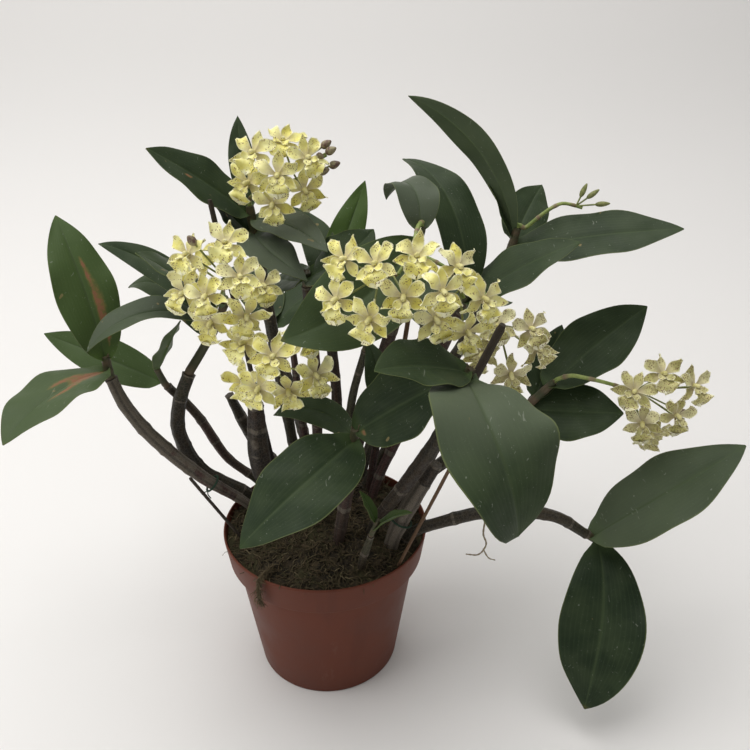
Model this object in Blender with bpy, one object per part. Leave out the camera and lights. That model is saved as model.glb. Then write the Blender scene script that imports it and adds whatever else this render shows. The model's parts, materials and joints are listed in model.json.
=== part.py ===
"""A dendrobium orchid in its nursery pot.

The pot's axis is the Z axis and the pot stands on z = 0.  +X is to the
viewer's right and +Y leads away from the viewer.  The design data below is
in millimetres and degrees; meshes are made in metres.

A leafy stem is a cane, rooted in a hole in the potting bark, and a shoot on
top of it that carries the leaves.  A flower spray sits on a shoot's end.
"""
import math
import random

import bmesh
import bpy
from mathutils import Matrix, Vector, noise

MM = 0.001
GAP = 0.3

# Pot: a plain round nursery pot, 150 mm across its rim
POT_HEIGHT = 119.0
POT_BASE_R = 53.2
POT_BODY_R = 66.8
POT_BAND_BOTTOM_R = 71.8
POT_RIM_R = 75.0
POT_BAND_HEIGHT = 22.7
POT_WALL = 1.6
POT_FLOOR = 2.0
POT_SEGMENTS = 36
DRAIN_HOLES = 4
DRAIN_HOLE_R = 5.0
DRAIN_CIRCLE_R = 32.0

# Potting bark and moss
SOIL_EDGE_Z = 112.5
SOIL_MOUND = 12.0
SOIL_LUMPS = 3.2
SOIL_RINGS = 6
SOIL_SEGMENTS = 30

# Canes
CANE_SIDES = 10
CANE_RIB = 0.09
CANE_STEP = 31.0
SHOOT_SIDES = 6
SHOOT_STRAIGHT = 2.5
HOLE_CLEARANCE = 0.45
HOLE_REACH = 4.0

# Leaves
LEAF_STATIONS = 8
LEAF_THICKNESS = 0.8
LEAF_SUBSTEPS = 60
LEAF_PEAK = 0.44
LEAF_BASE_WIDTH = 0.17
LEAF_TIP_WIDTH = 0.05
LEAF_WAVE = 0.04
WAVE_CYCLES = 2.5

# Flowers
BLOOM_R = 12.8
PETAL_THICKNESS = 0.8
PEDICEL_R = 0.9
PEDICEL_STRAIGHT = 4.0
STALK_R = 1.5
BLOOM_SPACING = 23.0
SPREAD_ROUNDS = 40

# name: cane path from the foot in the soil to the top, radii (foot, middle, top)
CANES = {
    "left_outer": (
        [(-42, 14, 98), (-58, 10, 126), (-90, 3, 157), (-118, 0, 190), (-134, 0, 216), (-141, 0, 238)],
        (2.6, 5.0, 4.0)),
    "left_inner": (
        [(-40, 42, 98), (-54, 42, 124), (-78, 42, 148), (-95, 36, 188), (-112, 28, 217)],
        (3.0, 3.6, 3.0)),
    "left_arched": (
        [(-42, 28, 98), (-58, 25, 124), (-92, 20, 150), (-104, 16, 182), (-103, 18, 206), (-94, 22, 230)],
        (3.4, 5.2, 4.4)),
    "old_left": (
        [(-26, 52, 98), (-36, 54, 124), (-58, 56, 155), (-74, 54, 196)],
        (3.2, 5.0, 3.2)),
    "old_trunk": (
        [(-20, 12, 98), (-34, 14, 128), (-47, 16, 158), (-48, 17, 208)],
        (6.0, 8.0, 5.5)),
    "front": (
        [(8, -26, 98), (12, -28, 130), (18, -36, 172), (23, -48, 214)],
        (3.4, 4.5, 3.6)),
    "front_right": (
        [(28, -14, 98), (38, -20, 135), (57, -34, 176), (77, -48, 222), (88, -58, 260)],
        (3.6, 5.0, 4.0)),
    "front_shoot": (
        [(26, -46, 98), (28, -51, 124), (34, -56, 150)],
        (2.4, 2.8, 2.2)),
    "right_long": (
        [(54, -18, 98), (62, -22, 124), (82, -28, 139), (118, -30, 150), (160, -28, 145), (188, -22, 124)],
        (3.6, 4.6, 3.4)),
    "old_right": (
        [(44, -28, 98), (51, -27, 130), (64, -26, 160), (78, -28, 188)],
        (4.5, 6.0, 4.0)),
    "right": (
        [(50, 24, 98), (60, 20, 130), (94, 14, 168), (126, 11, 194), (138, 10, 206)],
        (3.4, 5.0, 3.8)),
    "centre_right": (
        [(30, 22, 98), (38, 28, 134), (56, 34, 176), (76, 31, 226), (94, 23, 278)],
        (3.2, 4.3, 3.6)),
    "tall_right": (
        [(20, 40, 98), (34, 46, 130), (60, 52, 176), (94, 56, 224), (122, 58, 282), (131, 60, 306)],
        (3.2, 4.3, 3.6)),
    "tall_centre": (
        [(12, 18, 98), (20, 22, 150), (36, 24, 220), (54, 12, 290), (62, 3, 328)],
        (3.2, 4.5, 3.8)),
    "centre": (
        [(-4, 28, 98), (-6, 27, 150), (-5, 25, 226), (-8, 21, 296)],
        (3.0, 3.9, 3.6)),
    "centre_back": (
        [(4, 50, 98), (8, 48, 140), (8, 42, 210), (3, 33, 278)],
        (3.0, 3.8, 3.4)),
    "tall_left": (
        [(-18, 44, 98), (-26, 48, 150), (-36, 52, 235), (-45, 51, 318)],
        (3.2, 4.6, 3.6)),
    "slim_left": (
        [(-12, 36, 98), (-15, 37, 150), (-19, 38, 200), (-22, 39, 242)],
        (2.4, 3.0, 2.2)),
    "slim_middle": (
        [(10, 34, 98), (15, 32, 150), (20, 21, 208), (30, 6, 256)],
        (2.4, 3.0, 2.4)),
    "slim_right": (
        [(30, 35, 98), (33, 36, 130), (40, 38, 180), (44, 40, 240)],
        (2.4, 3.0, 2.2)),
    "back_left": (
        [(-10, 56, 98), (-14, 61, 128), (-30, 82, 185), (-44, 98, 224)],
        (3.2, 4.6, 3.4)),
    "back_right": (
        [(26, 54, 98), (28, 61, 128), (50, 84, 184), (72, 98, 220)],
        (3.2, 4.6, 3.4)),
}

# Leafy shoots: the points that follow the cane's top, and the shoot's radius.
# A leaf is: how far up the shoot it starts, heading, climb, length, width,
# droop, sweep, roll, twist, fold and, where they differ, where it is widest
# and how blunt its tip is.
SHOOTS = {
    "left_outer": ([(-142, 0, 254)], 3.4, [
        (0.85, 135, 83, 102, 40, 45, -10, 0, 0, 0.12),
        (0.35, -123, 14, 90, 44, 38, 17, 0, 0, 0.10),
    ]),
    "left_inner": ([(-118, 26, 234)], 2.6, [
        (0.2, 160, 15, 99, 30, 1, 4, -45, 0, 0.12),
        (0.85, -16, 66, 46, 26, 10, 0, 0, 0, 0.15),
    ]),
    "left_arched": ([(-84, 27, 246), (-72, 26, 266), (-64, 24, 284)], 3.4, [
        (0.60, -150, 55, 96, 28, 105, 5, -10, 0, 0.20),
        (0.50, 142, 60, 92, 24, 95, 6, -30, 0, 0.15),
        (0.78, 157, 44, 108, 20, 46, -5, -50, 0, 0.15),
        (0.95, -150, 46, 68, 42, 10, -6, -10, 0, 0.12),
    ]),
    "front": ([(24, -50, 228)], 3.2, [
        (0.9, 0, 38, 68, 50, 10, 0, 35, 0, 0.10),
        (0.4, -116, 5, 100, 50, 52, -44, -20, 0, 0.10),
        (0.6, 130, 25, 68, 20, 60, 36, -40, 0, 0.15),
    ]),
    "front_right": ([(92, -61, 276)], 3.6, [
        (0.45, -90, 24, 114, 74, 112, 40, -10, 0, 0.12, 0.56, 0.35),
        (0.85, -152, 26, 66, 40, 20, 8, -20, 0, 0.20),
    ]),
    "front_shoot": ([(39, -60, 166)], 1.8, [
        (0.3, -20, 60, 34, 12, 40, 0, 0, 0, 0.25),
        (0.8, 150, 70, 24, 9, 20, 0, 0, 0, 0.25),
    ]),
    "right_long": ([(200, -20, 114)], 3.0, [
        (0.25, -19, 50, 122, 54, 14, 25, 25, 0, 0.10),
        (0.7, -84, -30, 120, 58, 50, -45, 0, 0, 0.10, 0.5),
    ]),
    "right": ([(150, 10, 219), (160, 10, 230)], 3.2, [
        (0.75, 32, 32, 94, 46, 4, -12, 0, 50, 0.12),
        (0.1, -12, 4, 66, 46, 0, 0, 35, 0, 0.10),
        (0.4, 62, 32, 66, 26, 0, 0, 20, 0, 0.15),
    ]),
    "centre_right": ([(100, 19, 296)], 3.2, [
        (0.3, -11, 44, 84, 38, 21, 0, 26, 0, 0.12),
        (0.8, 111, 84, 122, 36, 89, 15, 0, 0, 0.15),
    ]),
    "tall_right": ([(135, 60, 324)], 3.2, [
        (0.78, 185, 78, 124, 21, 56, 5, 40, 40, 0.14, 0.5),
        (0.55, 150, 67, 60, 18, 10, 0, 0, 0, 0.25),
        (0.3, 70, 20, 76, 34, 0, -10, 30, 0, 0.12),
        (0.15, -26, 20, 112, 42, 16, 20, 30, 0, 0.10),
    ]),
    "tall_centre": ([(65, 0, 343)], 3.6, [
        (0.3, -134, -38, 110, 54, -36, -13, -46, 0, 0.16),
        (0.8, 92, 94, 62, 28, 165, 50, 0, 0, 0.18),
    ]),
    "centre": ([(-8, 18, 307)], 3.4, [
        (0.6, -41, 32, 57, 38, -6, 85, 30, 0, 0.20),
        (0.3, 124, -20, 51, 30, -10, -7, -30, 0, 0.15),
    ]),
    "centre_back": ([(3, 29, 294)], 3.2, [
        (0.8, 72, 30, 91, 25, -18, -8, 30, 0, 0.12),
        (0.3, 20, 35, 54, 28, 10, 0, 0, 0, 0.15),
        (0.5, 86, 50, 78, 24, 28, 60, -20, 0, 0.15),
    ]),
    "tall_left": ([(-47, 50, 342)], 3.4, [
        (0.75, -158, 45, 78, 34, 14, 0, -40, 0, 0.14),
        (0.6, -36, 13, 68, 26, 42, -5, 24, 0, 0.12, 0.4),
        (0.9, 114, 60, 65, 18, 6, -18, 0, 0, 0.25),
        (0.1, -170, 50, 40, 24, 0, 0, -30, 0, 0.20),
        (0.2, -80, 4, 65, 32, 42, 68, 10, 0, 0.10, 0.4),
    ]),
    "slim_middle": ([(33, 0, 270)], 2.2, [
        (0.6, -68, -30, 48, 20, 42, 0, 10, 0, 0.20, 0.6),
    ]),
    "back_left": ([(-47, 102, 240)], 3.0, [
        (0.7, 110, 40, 96, 42, 60, 20, 0, 0, 0.12),
        (0.3, 40, 45, 84, 38, 60, 10, 0, 0, 0.12),
    ]),
    "back_right": ([(75, 102, 234)], 3.0, [
        (0.7, 70, 35, 100, 44, 60, -20, 0, 0, 0.12),
        (0.3, 10, 40, 80, 38, 50, 10, 0, 0, 0.12),
    ]),
}

# Flower sprays: the shoot or cane each sits on, its stalk's paths after that
# (first from the shoot's end, then branches), the cluster's centre, and the
# blooms' and buds' places from that centre.
SPRAYS = {
    "upper_left": ("tall_left", [[(-44, 44, 350), (-30, 38, 362), (-10, 37, 370), (6, 38, 378)]],
                   (-23, 34, 369),
                   [(-13, -5, 9), (2, -1, 14), (14, -4, 8), (0, -16, 1), (11, -6, -10), (-17, -5, -6),
                    (-4, -8, -14)],
                   [(28, 4, 15), (31, 0, 12), (25, -2, 9), (33, 2, 3), (26, 2, -1)]),
    "left": ("left_arched", [[(-62, 10, 294), (-58, -6, 306), (-54, -16, 318)]],
             (-55, -22, 312),
             [(-18, -4, -3), (10, -10, 9), (-5, -8, -15), (20, -2, -3), (-15, 2, 20), (-18, 6, 8),
              (0, 0, 24), (-5, -14, 2), (11, -6, -13)],
             [(-14, -6, 30)]),
    "lower_left": ("old_trunk", [[(-46, 10, 222), (-38, -8, 244), (-26, -22, 262)]],
                   (-25, -33, 266),
                   [(-17, -2, 13), (-8, -8, -9), (17, -2, 12), (23, -4, -4), (-19, 0, -15), (0, -9, 9),
                    (7, -4, -17)],
                   []),
    "centre": ("tall_centre", [[(62, -14, 346), (58, -32, 338), (50, -44, 328)],
                               [(58, -32, 338), (78, -42, 330), (88, -46, 314)],
                               [(50, -44, 328), (34, -46, 326)]],
               (56, -56, 325),
               [(-20, 0, 14), (-37, 0, -7), (-21, -6, -12), (2, 0, 15), (-4, -9, -4), (26, 0, 8),
                (16, -6, -16), (33, 0, -26), (40, 0, -8), (14, -8, 1), (-34, 4, 10)],
               []),
    "right": ("centre_right", [[(102, 10, 303), (106, -4, 300), (112, -10, 289), (117, -6, 277)]],
              (122, -14, 270),
              [(-7, 0, 9), (15, -4, -2), (2, -4, -15), (-13, 2, -8), (10, -6, 12)],
              []),
    "far_right": ("right", [[(170, 6, 237), (188, 0, 236), (206, 4, 229), (222, 12, 222)]],
                  (227, -3, 219),
                  [(-14, -4, 12), (3, 0, 20), (21, 0, 15), (-8, -6, -8), (11, -8, -3), (0, -2, -21)],
                  [(22, 4, -8)]),
    "top_right": ("tall_right", [[(140, 60, 324), (152, 60, 334), (164, 60, 341), (178, 60, 338)]],
                  (172, 60, 342),
                  [],
                  [(5, 0, 6), (17, -2, -1), (11, 1, 4)]),
}

# Straight stakes and loose sticks: foot, top, radius
STAKES = {
    "stake_left": ((-34, 34, 98), (-68, 24, 353), 1.8),
    "stake_right": ((46, 2, 98), (113, -38, 294), 2.8),
    "stake_centre": ((39, 45, 98), (70, 30, 349), 1.8),
    "stick_left": ((-52, -14, 100), (-88, -30, 178), 1.2),
    "stick_front": ((48, -42, 100), (83, -70, 215), 1.2),
}

# Twine ties round a cane: the cane, how far up, wire radius
TIES = {
    "tie_left": ("left_outer", 0.38, 0.9),
    "tie_right": ("old_right", 0.45, 0.9),
}


# A tuft of moss that hangs over the rim: its azimuth, its path as (distance from
# the axis, height) and its radius at each of those points
MOSS_AZIMUTH = 238.0
MOSS_PATH = [(61.0, 121.4), (67.5, 121.5), (74.2, 122.0), (77.8, 117.5), (78.2, 109.0), (77.4, 100.0)]
MOSS_RADII = [1.6, 2.4, 2.2, 2.4, 2.8, 1.0]

# A thin dry root that hangs under the long right cane
ROOT_PATHS = [[(113, -31, 143.2), (112, -34, 134), (114, -37, 127), (109, -39, 120), (100, -40, 121)],
              [(112, -38, 124), (116, -39, 117), (121, -38, 114)]]
ROOT_R = 0.7


def clear_scene():
    """Remove whatever the scene holds."""
    for obj in list(bpy.data.objects):
        bpy.data.objects.remove(obj, do_unlink=True)


def material(name, colour, roughness):
    """Make a plain material with a Principled surface."""
    mat = bpy.data.materials.get(name)
    if mat is None:
        mat = bpy.data.materials.new(name)
        mat.use_nodes = True
        shader = mat.node_tree.nodes["Principled BSDF"]
        shader.inputs["Base Color"].default_value = (*colour, 1.0)
        shader.inputs["Roughness"].default_value = roughness
        mat.diffuse_color = (*colour, 1.0)
    return mat


def solid(name, verts, faces, mat, smooth_angle=40.0):
    """Make an object from points in millimetres and faces that point out."""
    mesh = bpy.data.meshes.new(name)
    mesh.from_pydata([Vector(v) * MM for v in verts], [], faces)
    bm = bmesh.new()
    bm.from_mesh(mesh)
    bmesh.ops.recalc_face_normals(bm, faces=bm.faces)
    bm.to_mesh(mesh)
    bm.free()
    mesh.materials.append(mat)
    mesh.shade_smooth()
    mesh.set_sharp_from_angle(angle=math.radians(smooth_angle))
    obj = bpy.data.objects.new(name, mesh)
    bpy.context.scene.collection.objects.link(obj)
    return obj


def apply_boolean(obj, others, operation, solver="EXACT"):
    """Join or cut an object with others in one step, and remove the others."""
    group = bpy.data.collections.new(obj.name + "_group")
    bpy.context.scene.collection.children.link(group)
    for other in others:
        bpy.context.scene.collection.objects.unlink(other)
        group.objects.link(other)
    modifier = obj.modifiers.new("Join", "BOOLEAN")
    modifier.operation = operation
    modifier.operand_type = "COLLECTION"
    modifier.collection = group
    modifier.solver = solver
    evaluated = obj.evaluated_get(bpy.context.evaluated_depsgraph_get())
    mesh = bpy.data.meshes.new_from_object(evaluated)
    obj.modifiers.clear()
    obj.data = mesh
    for other in others:
        bpy.data.objects.remove(other, do_unlink=True)
    bpy.data.collections.remove(group)
    mesh.name = obj.name
    return obj


def spline(points, step):
    """Points along a smooth curve through the given ones, about one step apart."""
    pts = [Vector(p) for p in points]
    pts = [2 * pts[0] - pts[1]] + pts + [2 * pts[-1] - pts[-2]]
    out = []
    for i in range(1, len(pts) - 2):
        a, b, c, d = pts[i - 1:i + 3]
        pieces = max(1, round((c - b).length / step))
        for k in range(pieces):
            t = k / pieces
            out.append(0.5 * (2 * b + (c - a) * t + (2 * a - 5 * b + 4 * c - d) * t ** 2
                              + (3 * b - a - 3 * c + d) * t ** 3))
    out.append(pts[-2])
    return out


def frames_along(path):
    """A tangent and two cross directions at each point, turning no more than needed."""
    tangents = []
    for i in range(len(path)):
        before = path[max(i - 1, 0)]
        after = path[min(i + 1, len(path) - 1)]
        tangents.append((after - before).normalized())
    side = tangents[0].orthogonal().normalized()
    frames = []
    for tangent in tangents:
        side = (side - tangent * side.dot(tangent)).normalized()
        frames.append((tangent, side, tangent.cross(side)))
    return frames


def share_along(path):
    """Each point's share of the way along the path, from 0 to 1."""
    lengths = [0.0]
    for i in range(1, len(path)):
        lengths.append(lengths[-1] + (path[i] - path[i - 1]).length)
    return [length / lengths[-1] for length in lengths]


def tube(path, radius_at, sides, rib=0.0):
    """A closed tube round a path; rib lifts every second side."""
    verts = []
    faces = []
    shares = share_along(path)
    for point, (tangent, side, up), share in zip(path, frames_along(path), shares):
        for k in range(sides):
            angle = 2 * math.pi * k / sides
            radius = radius_at(share) * (1 + (rib if k % 2 == 0 else -rib))
            verts.append(point + radius * (side * math.cos(angle) + up * math.sin(angle)))
    rings = len(path)
    for i in range(rings - 1):
        for k in range(sides):
            a = i * sides + k
            b = i * sides + (k + 1) % sides
            faces.append((a, b, b + sides, a + sides))
    faces.append(tuple(reversed(range(sides))))
    faces.append(tuple(range((rings - 1) * sides, rings * sides)))
    return verts, faces


def cane_radius(radii):
    """A cane is slim at its foot, widest past its middle and slimmer at the top."""
    foot, middle, top = radii

    def radius_at(share):
        if share < 0.6:
            blend = math.sin(share / 0.6 * math.pi / 2) ** 1.5
            return foot + (middle - foot) * blend
        blend = (share - 0.6) / 0.4
        return middle + (top - middle) * blend ** 1.5

    return radius_at


def cane_path(name, step=CANE_STEP):
    """The smooth path of a cane."""
    return spline(CANES[name][0], step)


def shoot_path(name, step=13.0):
    """The path of the leafy shoot, which starts just above the cane's top."""
    cane = cane_path(name)
    heading = (cane[-1] - cane[-2]).normalized()
    start = cane[-1] + heading * GAP
    return [start] + spline([start + heading * SHOOT_STRAIGHT] + SHOOTS[name][0], step)


def point_along(path, share):
    """The point at a share of the way along a path."""
    shares = share_along(path)
    for i in range(1, len(path)):
        if share <= shares[i]:
            part = (share - shares[i - 1]) / (shares[i] - shares[i - 1])
            return path[i - 1].lerp(path[i], part)
    return path[-1].copy()


def polar(heading):
    """A level unit vector at a heading in degrees."""
    angle = math.radians(heading)
    return Vector((math.cos(angle), math.sin(angle), 0))


def leaf_halfwidth(s, leaf):
    """Half a blade's width: rounded at the base, widest at its peak, pointed or blunt."""
    width = leaf[4]
    peak = leaf[10] if len(leaf) > 10 else LEAF_PEAK
    blunt = leaf[11] if len(leaf) > 11 else 0.0
    shift = math.log(0.5) / math.log(peak)
    body = max(math.sin(math.pi * s ** shift), 0.0) ** (0.55 + (0.27 - blunt) * s)
    base = LEAF_BASE_WIDTH * (1 - s) ** 3
    return 0.5 * width * max(body, base, LEAF_TIP_WIDTH)


def leaf_frames(start, leaf, stations):
    """Point, tangent, left and up directions at each station of a leaf's midrib."""
    share, heading, climb, length, width, droop, sweep, roll, twist = leaf[:9]
    point = Vector(start)
    frames = []
    step = length / LEAF_SUBSTEPS
    wanted = [round(i * LEAF_SUBSTEPS / (stations - 1)) for i in range(stations)]
    for k in range(LEAF_SUBSTEPS + 1):
        s = k / LEAF_SUBSTEPS
        h = math.radians(heading + sweep * s)
        c = math.radians(climb - droop * s)
        r = math.radians(roll + twist * s)
        tangent = Vector((math.cos(c) * math.cos(h), math.cos(c) * math.sin(h), math.sin(c)))
        left = Vector((-math.sin(h), math.cos(h), 0))
        up = tangent.cross(left)
        left, up = left * math.cos(r) + up * math.sin(r), up * math.cos(r) - left * math.sin(r)
        if k in wanted:
            frames.append((s, point.copy(), tangent, left, up))
        point = point + tangent * step
    return frames


def leaf_blade(start, leaf, phase):
    """A folded blade with a waved edge, split into triangles alike on both faces."""
    width, fold = leaf[4], leaf[9]
    wave = LEAF_WAVE * width
    verts = []
    for s, point, tangent, left, up in leaf_frames(start, leaf, LEAF_STATIONS):
        half = leaf_halfwidth(s, leaf)
        for side in (1, 0, -1):
            turn = 2 * math.pi * WAVE_CYCLES * s + phase + 2.0 * side
            ripple = wave * math.sin(math.pi * s) * math.sin(turn)
            lift = abs(side) * (fold * half + ripple)
            middle = point + left * (side * half) + up * lift
            verts.append(middle + up * (LEAF_THICKNESS / 2))
            verts.append(middle - up * (LEAF_THICKNESS / 2))
    faces = []
    for i in range(LEAF_STATIONS - 1):
        a = 6 * i
        b = a + 6
        for k in (0, 2):
            lower, higher = (k, k + 2)
            if k == 0:
                cut = ((a + lower, b + lower, b + higher), (a + lower, b + higher, a + higher))
            else:
                cut = ((a + lower, b + lower, a + higher), (b + lower, b + higher, a + higher))
            for tri in cut:
                faces.append(tri)
                faces.append(tuple(v + 1 for v in reversed(tri)))
        faces.append((a, a + 1, b + 1))
        faces.append((a, b + 1, b))
        faces.append((a + 4, b + 5, a + 5))
        faces.append((a + 4, b + 4, b + 5))
    last = 6 * (LEAF_STATIONS - 1)
    faces.append((0, 2, 3, 1))
    faces.append((2, 4, 5, 3))
    faces.append((last, last + 1, last + 3, last + 2))
    faces.append((last + 2, last + 3, last + 5, last + 4))
    return verts, faces


def build_pot():
    """The pot: a tapered body, a stepped rim band and drain holes in its floor."""
    band_bottom = POT_HEIGHT - POT_BAND_HEIGHT
    slope = (POT_BODY_R - POT_BASE_R) / band_bottom
    inner_top = POT_RIM_R - POT_WALL
    profile = [
        (0, 0), (POT_BASE_R - 1.5, 0), (POT_BASE_R, 1.5), (POT_BODY_R, band_bottom),
        (POT_BAND_BOTTOM_R, band_bottom + 0.6), (POT_RIM_R - 0.3, POT_HEIGHT - 1.2),
        (POT_RIM_R - 0.6, POT_HEIGHT), (inner_top, POT_HEIGHT),
        (POT_BAND_BOTTOM_R - POT_WALL, band_bottom + 2.5),
        (POT_BODY_R - POT_WALL, band_bottom + 1.5), (POT_BASE_R - POT_WALL + slope * POT_FLOOR, POT_FLOOR),
        (0, POT_FLOOR),
    ]
    verts, faces = lathe(profile, POT_SEGMENTS)
    pot = solid("pot", verts, faces, material("plastic_terracotta", (0.17, 0.062, 0.04), 0.55), 30)
    cutters = []
    for k in range(DRAIN_HOLES):
        angle = 2 * math.pi * (k + 0.5) / DRAIN_HOLES
        x, y = DRAIN_CIRCLE_R * math.cos(angle), DRAIN_CIRCLE_R * math.sin(angle)
        path = [Vector((x, y, -3)), Vector((x, y, 6))]
        cutters.append(solid(f"drain_{k}", *tube(path, lambda s: DRAIN_HOLE_R, 10), pot.data.materials[0]))
    return apply_boolean(pot, cutters, "DIFFERENCE")


def lathe(profile, segments):
    """Turn a profile of (radius, height) round Z; it starts and ends on the axis."""
    verts = [(0, 0, profile[0][1])]
    inner = profile[1:-1]
    for radius, height in inner:
        for k in range(segments):
            angle = 2 * math.pi * k / segments
            verts.append((radius * math.cos(angle), radius * math.sin(angle), height))
    verts.append((0, 0, profile[-1][1]))
    faces = []
    for k in range(segments):
        nxt = (k + 1) % segments
        faces.append((0, 1 + nxt, 1 + k))
        for ring in range(len(inner) - 1):
            a = 1 + ring * segments
            faces.append((a + k, a + nxt, a + segments + nxt, a + segments + k))
        top = 1 + (len(inner) - 1) * segments
        faces.append((top + k, top + nxt, len(verts) - 1))
    return verts, faces


def soil_height(x, y):
    """The lumpy top of the potting bark, mounded towards the middle."""
    reach = min(math.hypot(x, y) / POT_RIM_R, 1.0)
    mound = SOIL_MOUND * (1 - reach ** 2)
    lumps = SOIL_LUMPS * noise.noise(Vector((x / 13.0, y / 13.0, 3.7)))
    return SOIL_EDGE_Z + mound + lumps * min(1.0, 4 * (1 - reach) + 0.35)


def pot_inner_radius(z):
    """The inner radius of the pot at a height."""
    band_bottom = POT_HEIGHT - POT_BAND_HEIGHT
    if z <= band_bottom + 1.5:
        share = z / band_bottom
        return POT_BASE_R + (POT_BODY_R - POT_BASE_R) * min(share, 1.0) - POT_WALL
    share = (z - band_bottom) / POT_BAND_HEIGHT
    return POT_BAND_BOTTOM_R + (POT_RIM_R - POT_BAND_BOTTOM_R) * share - POT_WALL


def build_substrate():
    """Potting bark that fills the pot, with a plain hole for each stem and stake."""
    clear = GAP + 0.25
    band_bottom = POT_HEIGHT - POT_BAND_HEIGHT
    verts = [(0, 0, soil_height(0, 0))]
    for ring in range(1, SOIL_RINGS + 1):
        share = (ring / SOIL_RINGS) ** 0.85
        for k in range(SOIL_SEGMENTS):
            angle = 2 * math.pi * k / SOIL_SEGMENTS
            radius = share * (pot_inner_radius(SOIL_EDGE_Z) - clear)
            x, y = radius * math.cos(angle), radius * math.sin(angle)
            verts.append((x, y, soil_height(x, y)))
    ledge = band_bottom + 2.5
    sides = [(pot_inner_radius(ledge) - clear - 0.4, ledge + 0.8),
             (pot_inner_radius(band_bottom) - clear - 0.2, ledge - 0.3),
             (pot_inner_radius(POT_FLOOR) - clear, POT_FLOOR + GAP)]
    for radius, height in sides:
        for k in range(SOIL_SEGMENTS):
            angle = 2 * math.pi * k / SOIL_SEGMENTS
            verts.append((radius * math.cos(angle), radius * math.sin(angle), height))
    verts.append((0, 0, POT_FLOOR + GAP))
    faces = []
    rings = SOIL_RINGS + len(sides)
    for k in range(SOIL_SEGMENTS):
        nxt = (k + 1) % SOIL_SEGMENTS
        faces.append((0, 1 + k, 1 + nxt))
        for ring in range(rings - 1):
            a = 1 + ring * SOIL_SEGMENTS
            b = a + SOIL_SEGMENTS
            faces.append((a + k, b + k, a + nxt))
            faces.append((a + nxt, b + k, b + nxt))
        last = 1 + (rings - 1) * SOIL_SEGMENTS
        faces.append((last + nxt, last + k, len(verts) - 1))
    mat = material("bark_and_moss", (0.045, 0.034, 0.018), 0.95)
    soil = solid("substrate", verts, faces, mat, 60)
    cutters = []
    for name in CANES:
        grown = tube(*hole_form(name), CANE_SIDES)
        cutters.append(solid("hole_" + name, *grown, mat))
    for name, (foot, top, radius) in STAKES.items():
        foot, top = Vector(foot), Vector(top)
        heading = (top - foot).normalized()
        path = [foot - heading * GAP, foot + heading * 45]
        cutters.append(solid("hole_" + name, *tube(path, lambda s: radius + HOLE_CLEARANCE, 8), mat))
    return apply_boolean(soil, cutters, "DIFFERENCE")


def hole_form(name):
    """A stem's hole: its path in the soil, and a radius that clears the cane's ribs."""
    path = cane_path(name)
    heading = (path[1] - path[0]).normalized()
    hole = [path[0] - heading * GAP, path[1] + heading * HOLE_REACH]
    cane = cane_radius(CANES[name][1])
    foot = cane(0.0) * (1 + CANE_RIB) + HOLE_CLEARANCE
    mouth = cane(share_along(path)[1]) * (1 + CANE_RIB) + HOLE_CLEARANCE
    return hole, lambda share: foot + (mouth - foot) * share


def build_cane(name):
    """A ribbed cane."""
    brown = material("cane_brown", (0.07, 0.05, 0.032), 0.6)
    verts, faces = tube(cane_path(name), cane_radius(CANES[name][1]), CANE_SIDES, CANE_RIB)
    return solid("cane_" + name, verts, faces, brown, 35)


def build_foliage(name):
    """The leafy top of a cane: its green shoot with the leaves grown from it."""
    green = material("leaf_green", (0.028, 0.062, 0.03), 0.45)
    points, radius, leaves = SHOOTS[name]
    path = shoot_path(name)
    foliage = solid("foliage_" + name, *tube(path, lambda s: radius * (1 - 0.2 * s), SHOOT_SIDES), green, 35)
    blades = []
    for index, leaf in enumerate(leaves):
        start = point_along(path, leaf[0]) + polar(leaf[1]) * (0.5 * radius)
        phase = 1.7 * index + 0.9 * len(name)
        blades.append(solid(f"blade_{name}_{index}", *leaf_blade(start, leaf, phase), green, 35))
    return apply_boolean(foliage, blades, "UNION")


def lobe(angle, length, width, tip, middle_lift, tip_lift):
    """The outline points of one tepal, from one shoulder round its tip to the other."""
    a = math.radians(angle)
    along = Vector((math.cos(a), math.sin(a), 0))
    across = Vector((-math.sin(a), math.cos(a), 0))
    up = Vector((0, 0, 1))
    return [
        along * (0.6 * length) - across * (0.5 * width) + up * middle_lift,
        along * length - across * tip + up * tip_lift,
        along * (0.6 * length) + across * (0.5 * width) + up * middle_lift,
    ]


def star(lobes, thickness, notch_r):
    """A closed thin star: a flat hub with a notch between lobes, and a lobe on each side."""
    notches = []
    for i, (angle, points) in enumerate(lobes):
        previous = lobes[i - 1][0] - (360 if i == 0 else 0)
        notch = math.radians((previous + angle) / 2)
        notches.append(Vector((notch_r * math.cos(notch), notch_r * math.sin(notch), 0)))
    outline = []
    starts = []
    for notch, (angle, points) in zip(notches, lobes):
        starts.append(len(outline))
        outline.append(notch)
        outline.extend(points)
    ring = len(outline)
    tris = [(starts[0], starts[i], starts[i + 1]) for i in range(1, len(starts) - 1)]
    for i, (angle, points) in enumerate(lobes):
        first = starts[i]
        rim = [first + k for k in range(len(points) + 1)] + [starts[(i + 1) % len(starts)]]
        tip = rim[len(rim) // 2]
        for a, b in zip(rim, rim[1:] + rim[:1]):
            if tip not in (a, b):
                tris.append((tip, a, b))
    half = Vector((0, 0, thickness / 2))
    verts = [p + half for p in outline] + [p - half for p in outline]
    faces = []
    for a, b, c in tris:
        faces.append((a, b, c))
        faces.append((c + ring, b + ring, a + ring))
    for i in range(ring):
        j = (i + 1) % ring
        faces.append((i, i + ring, j + ring))
        faces.append((i, j + ring, j))
    return verts, faces


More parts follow.
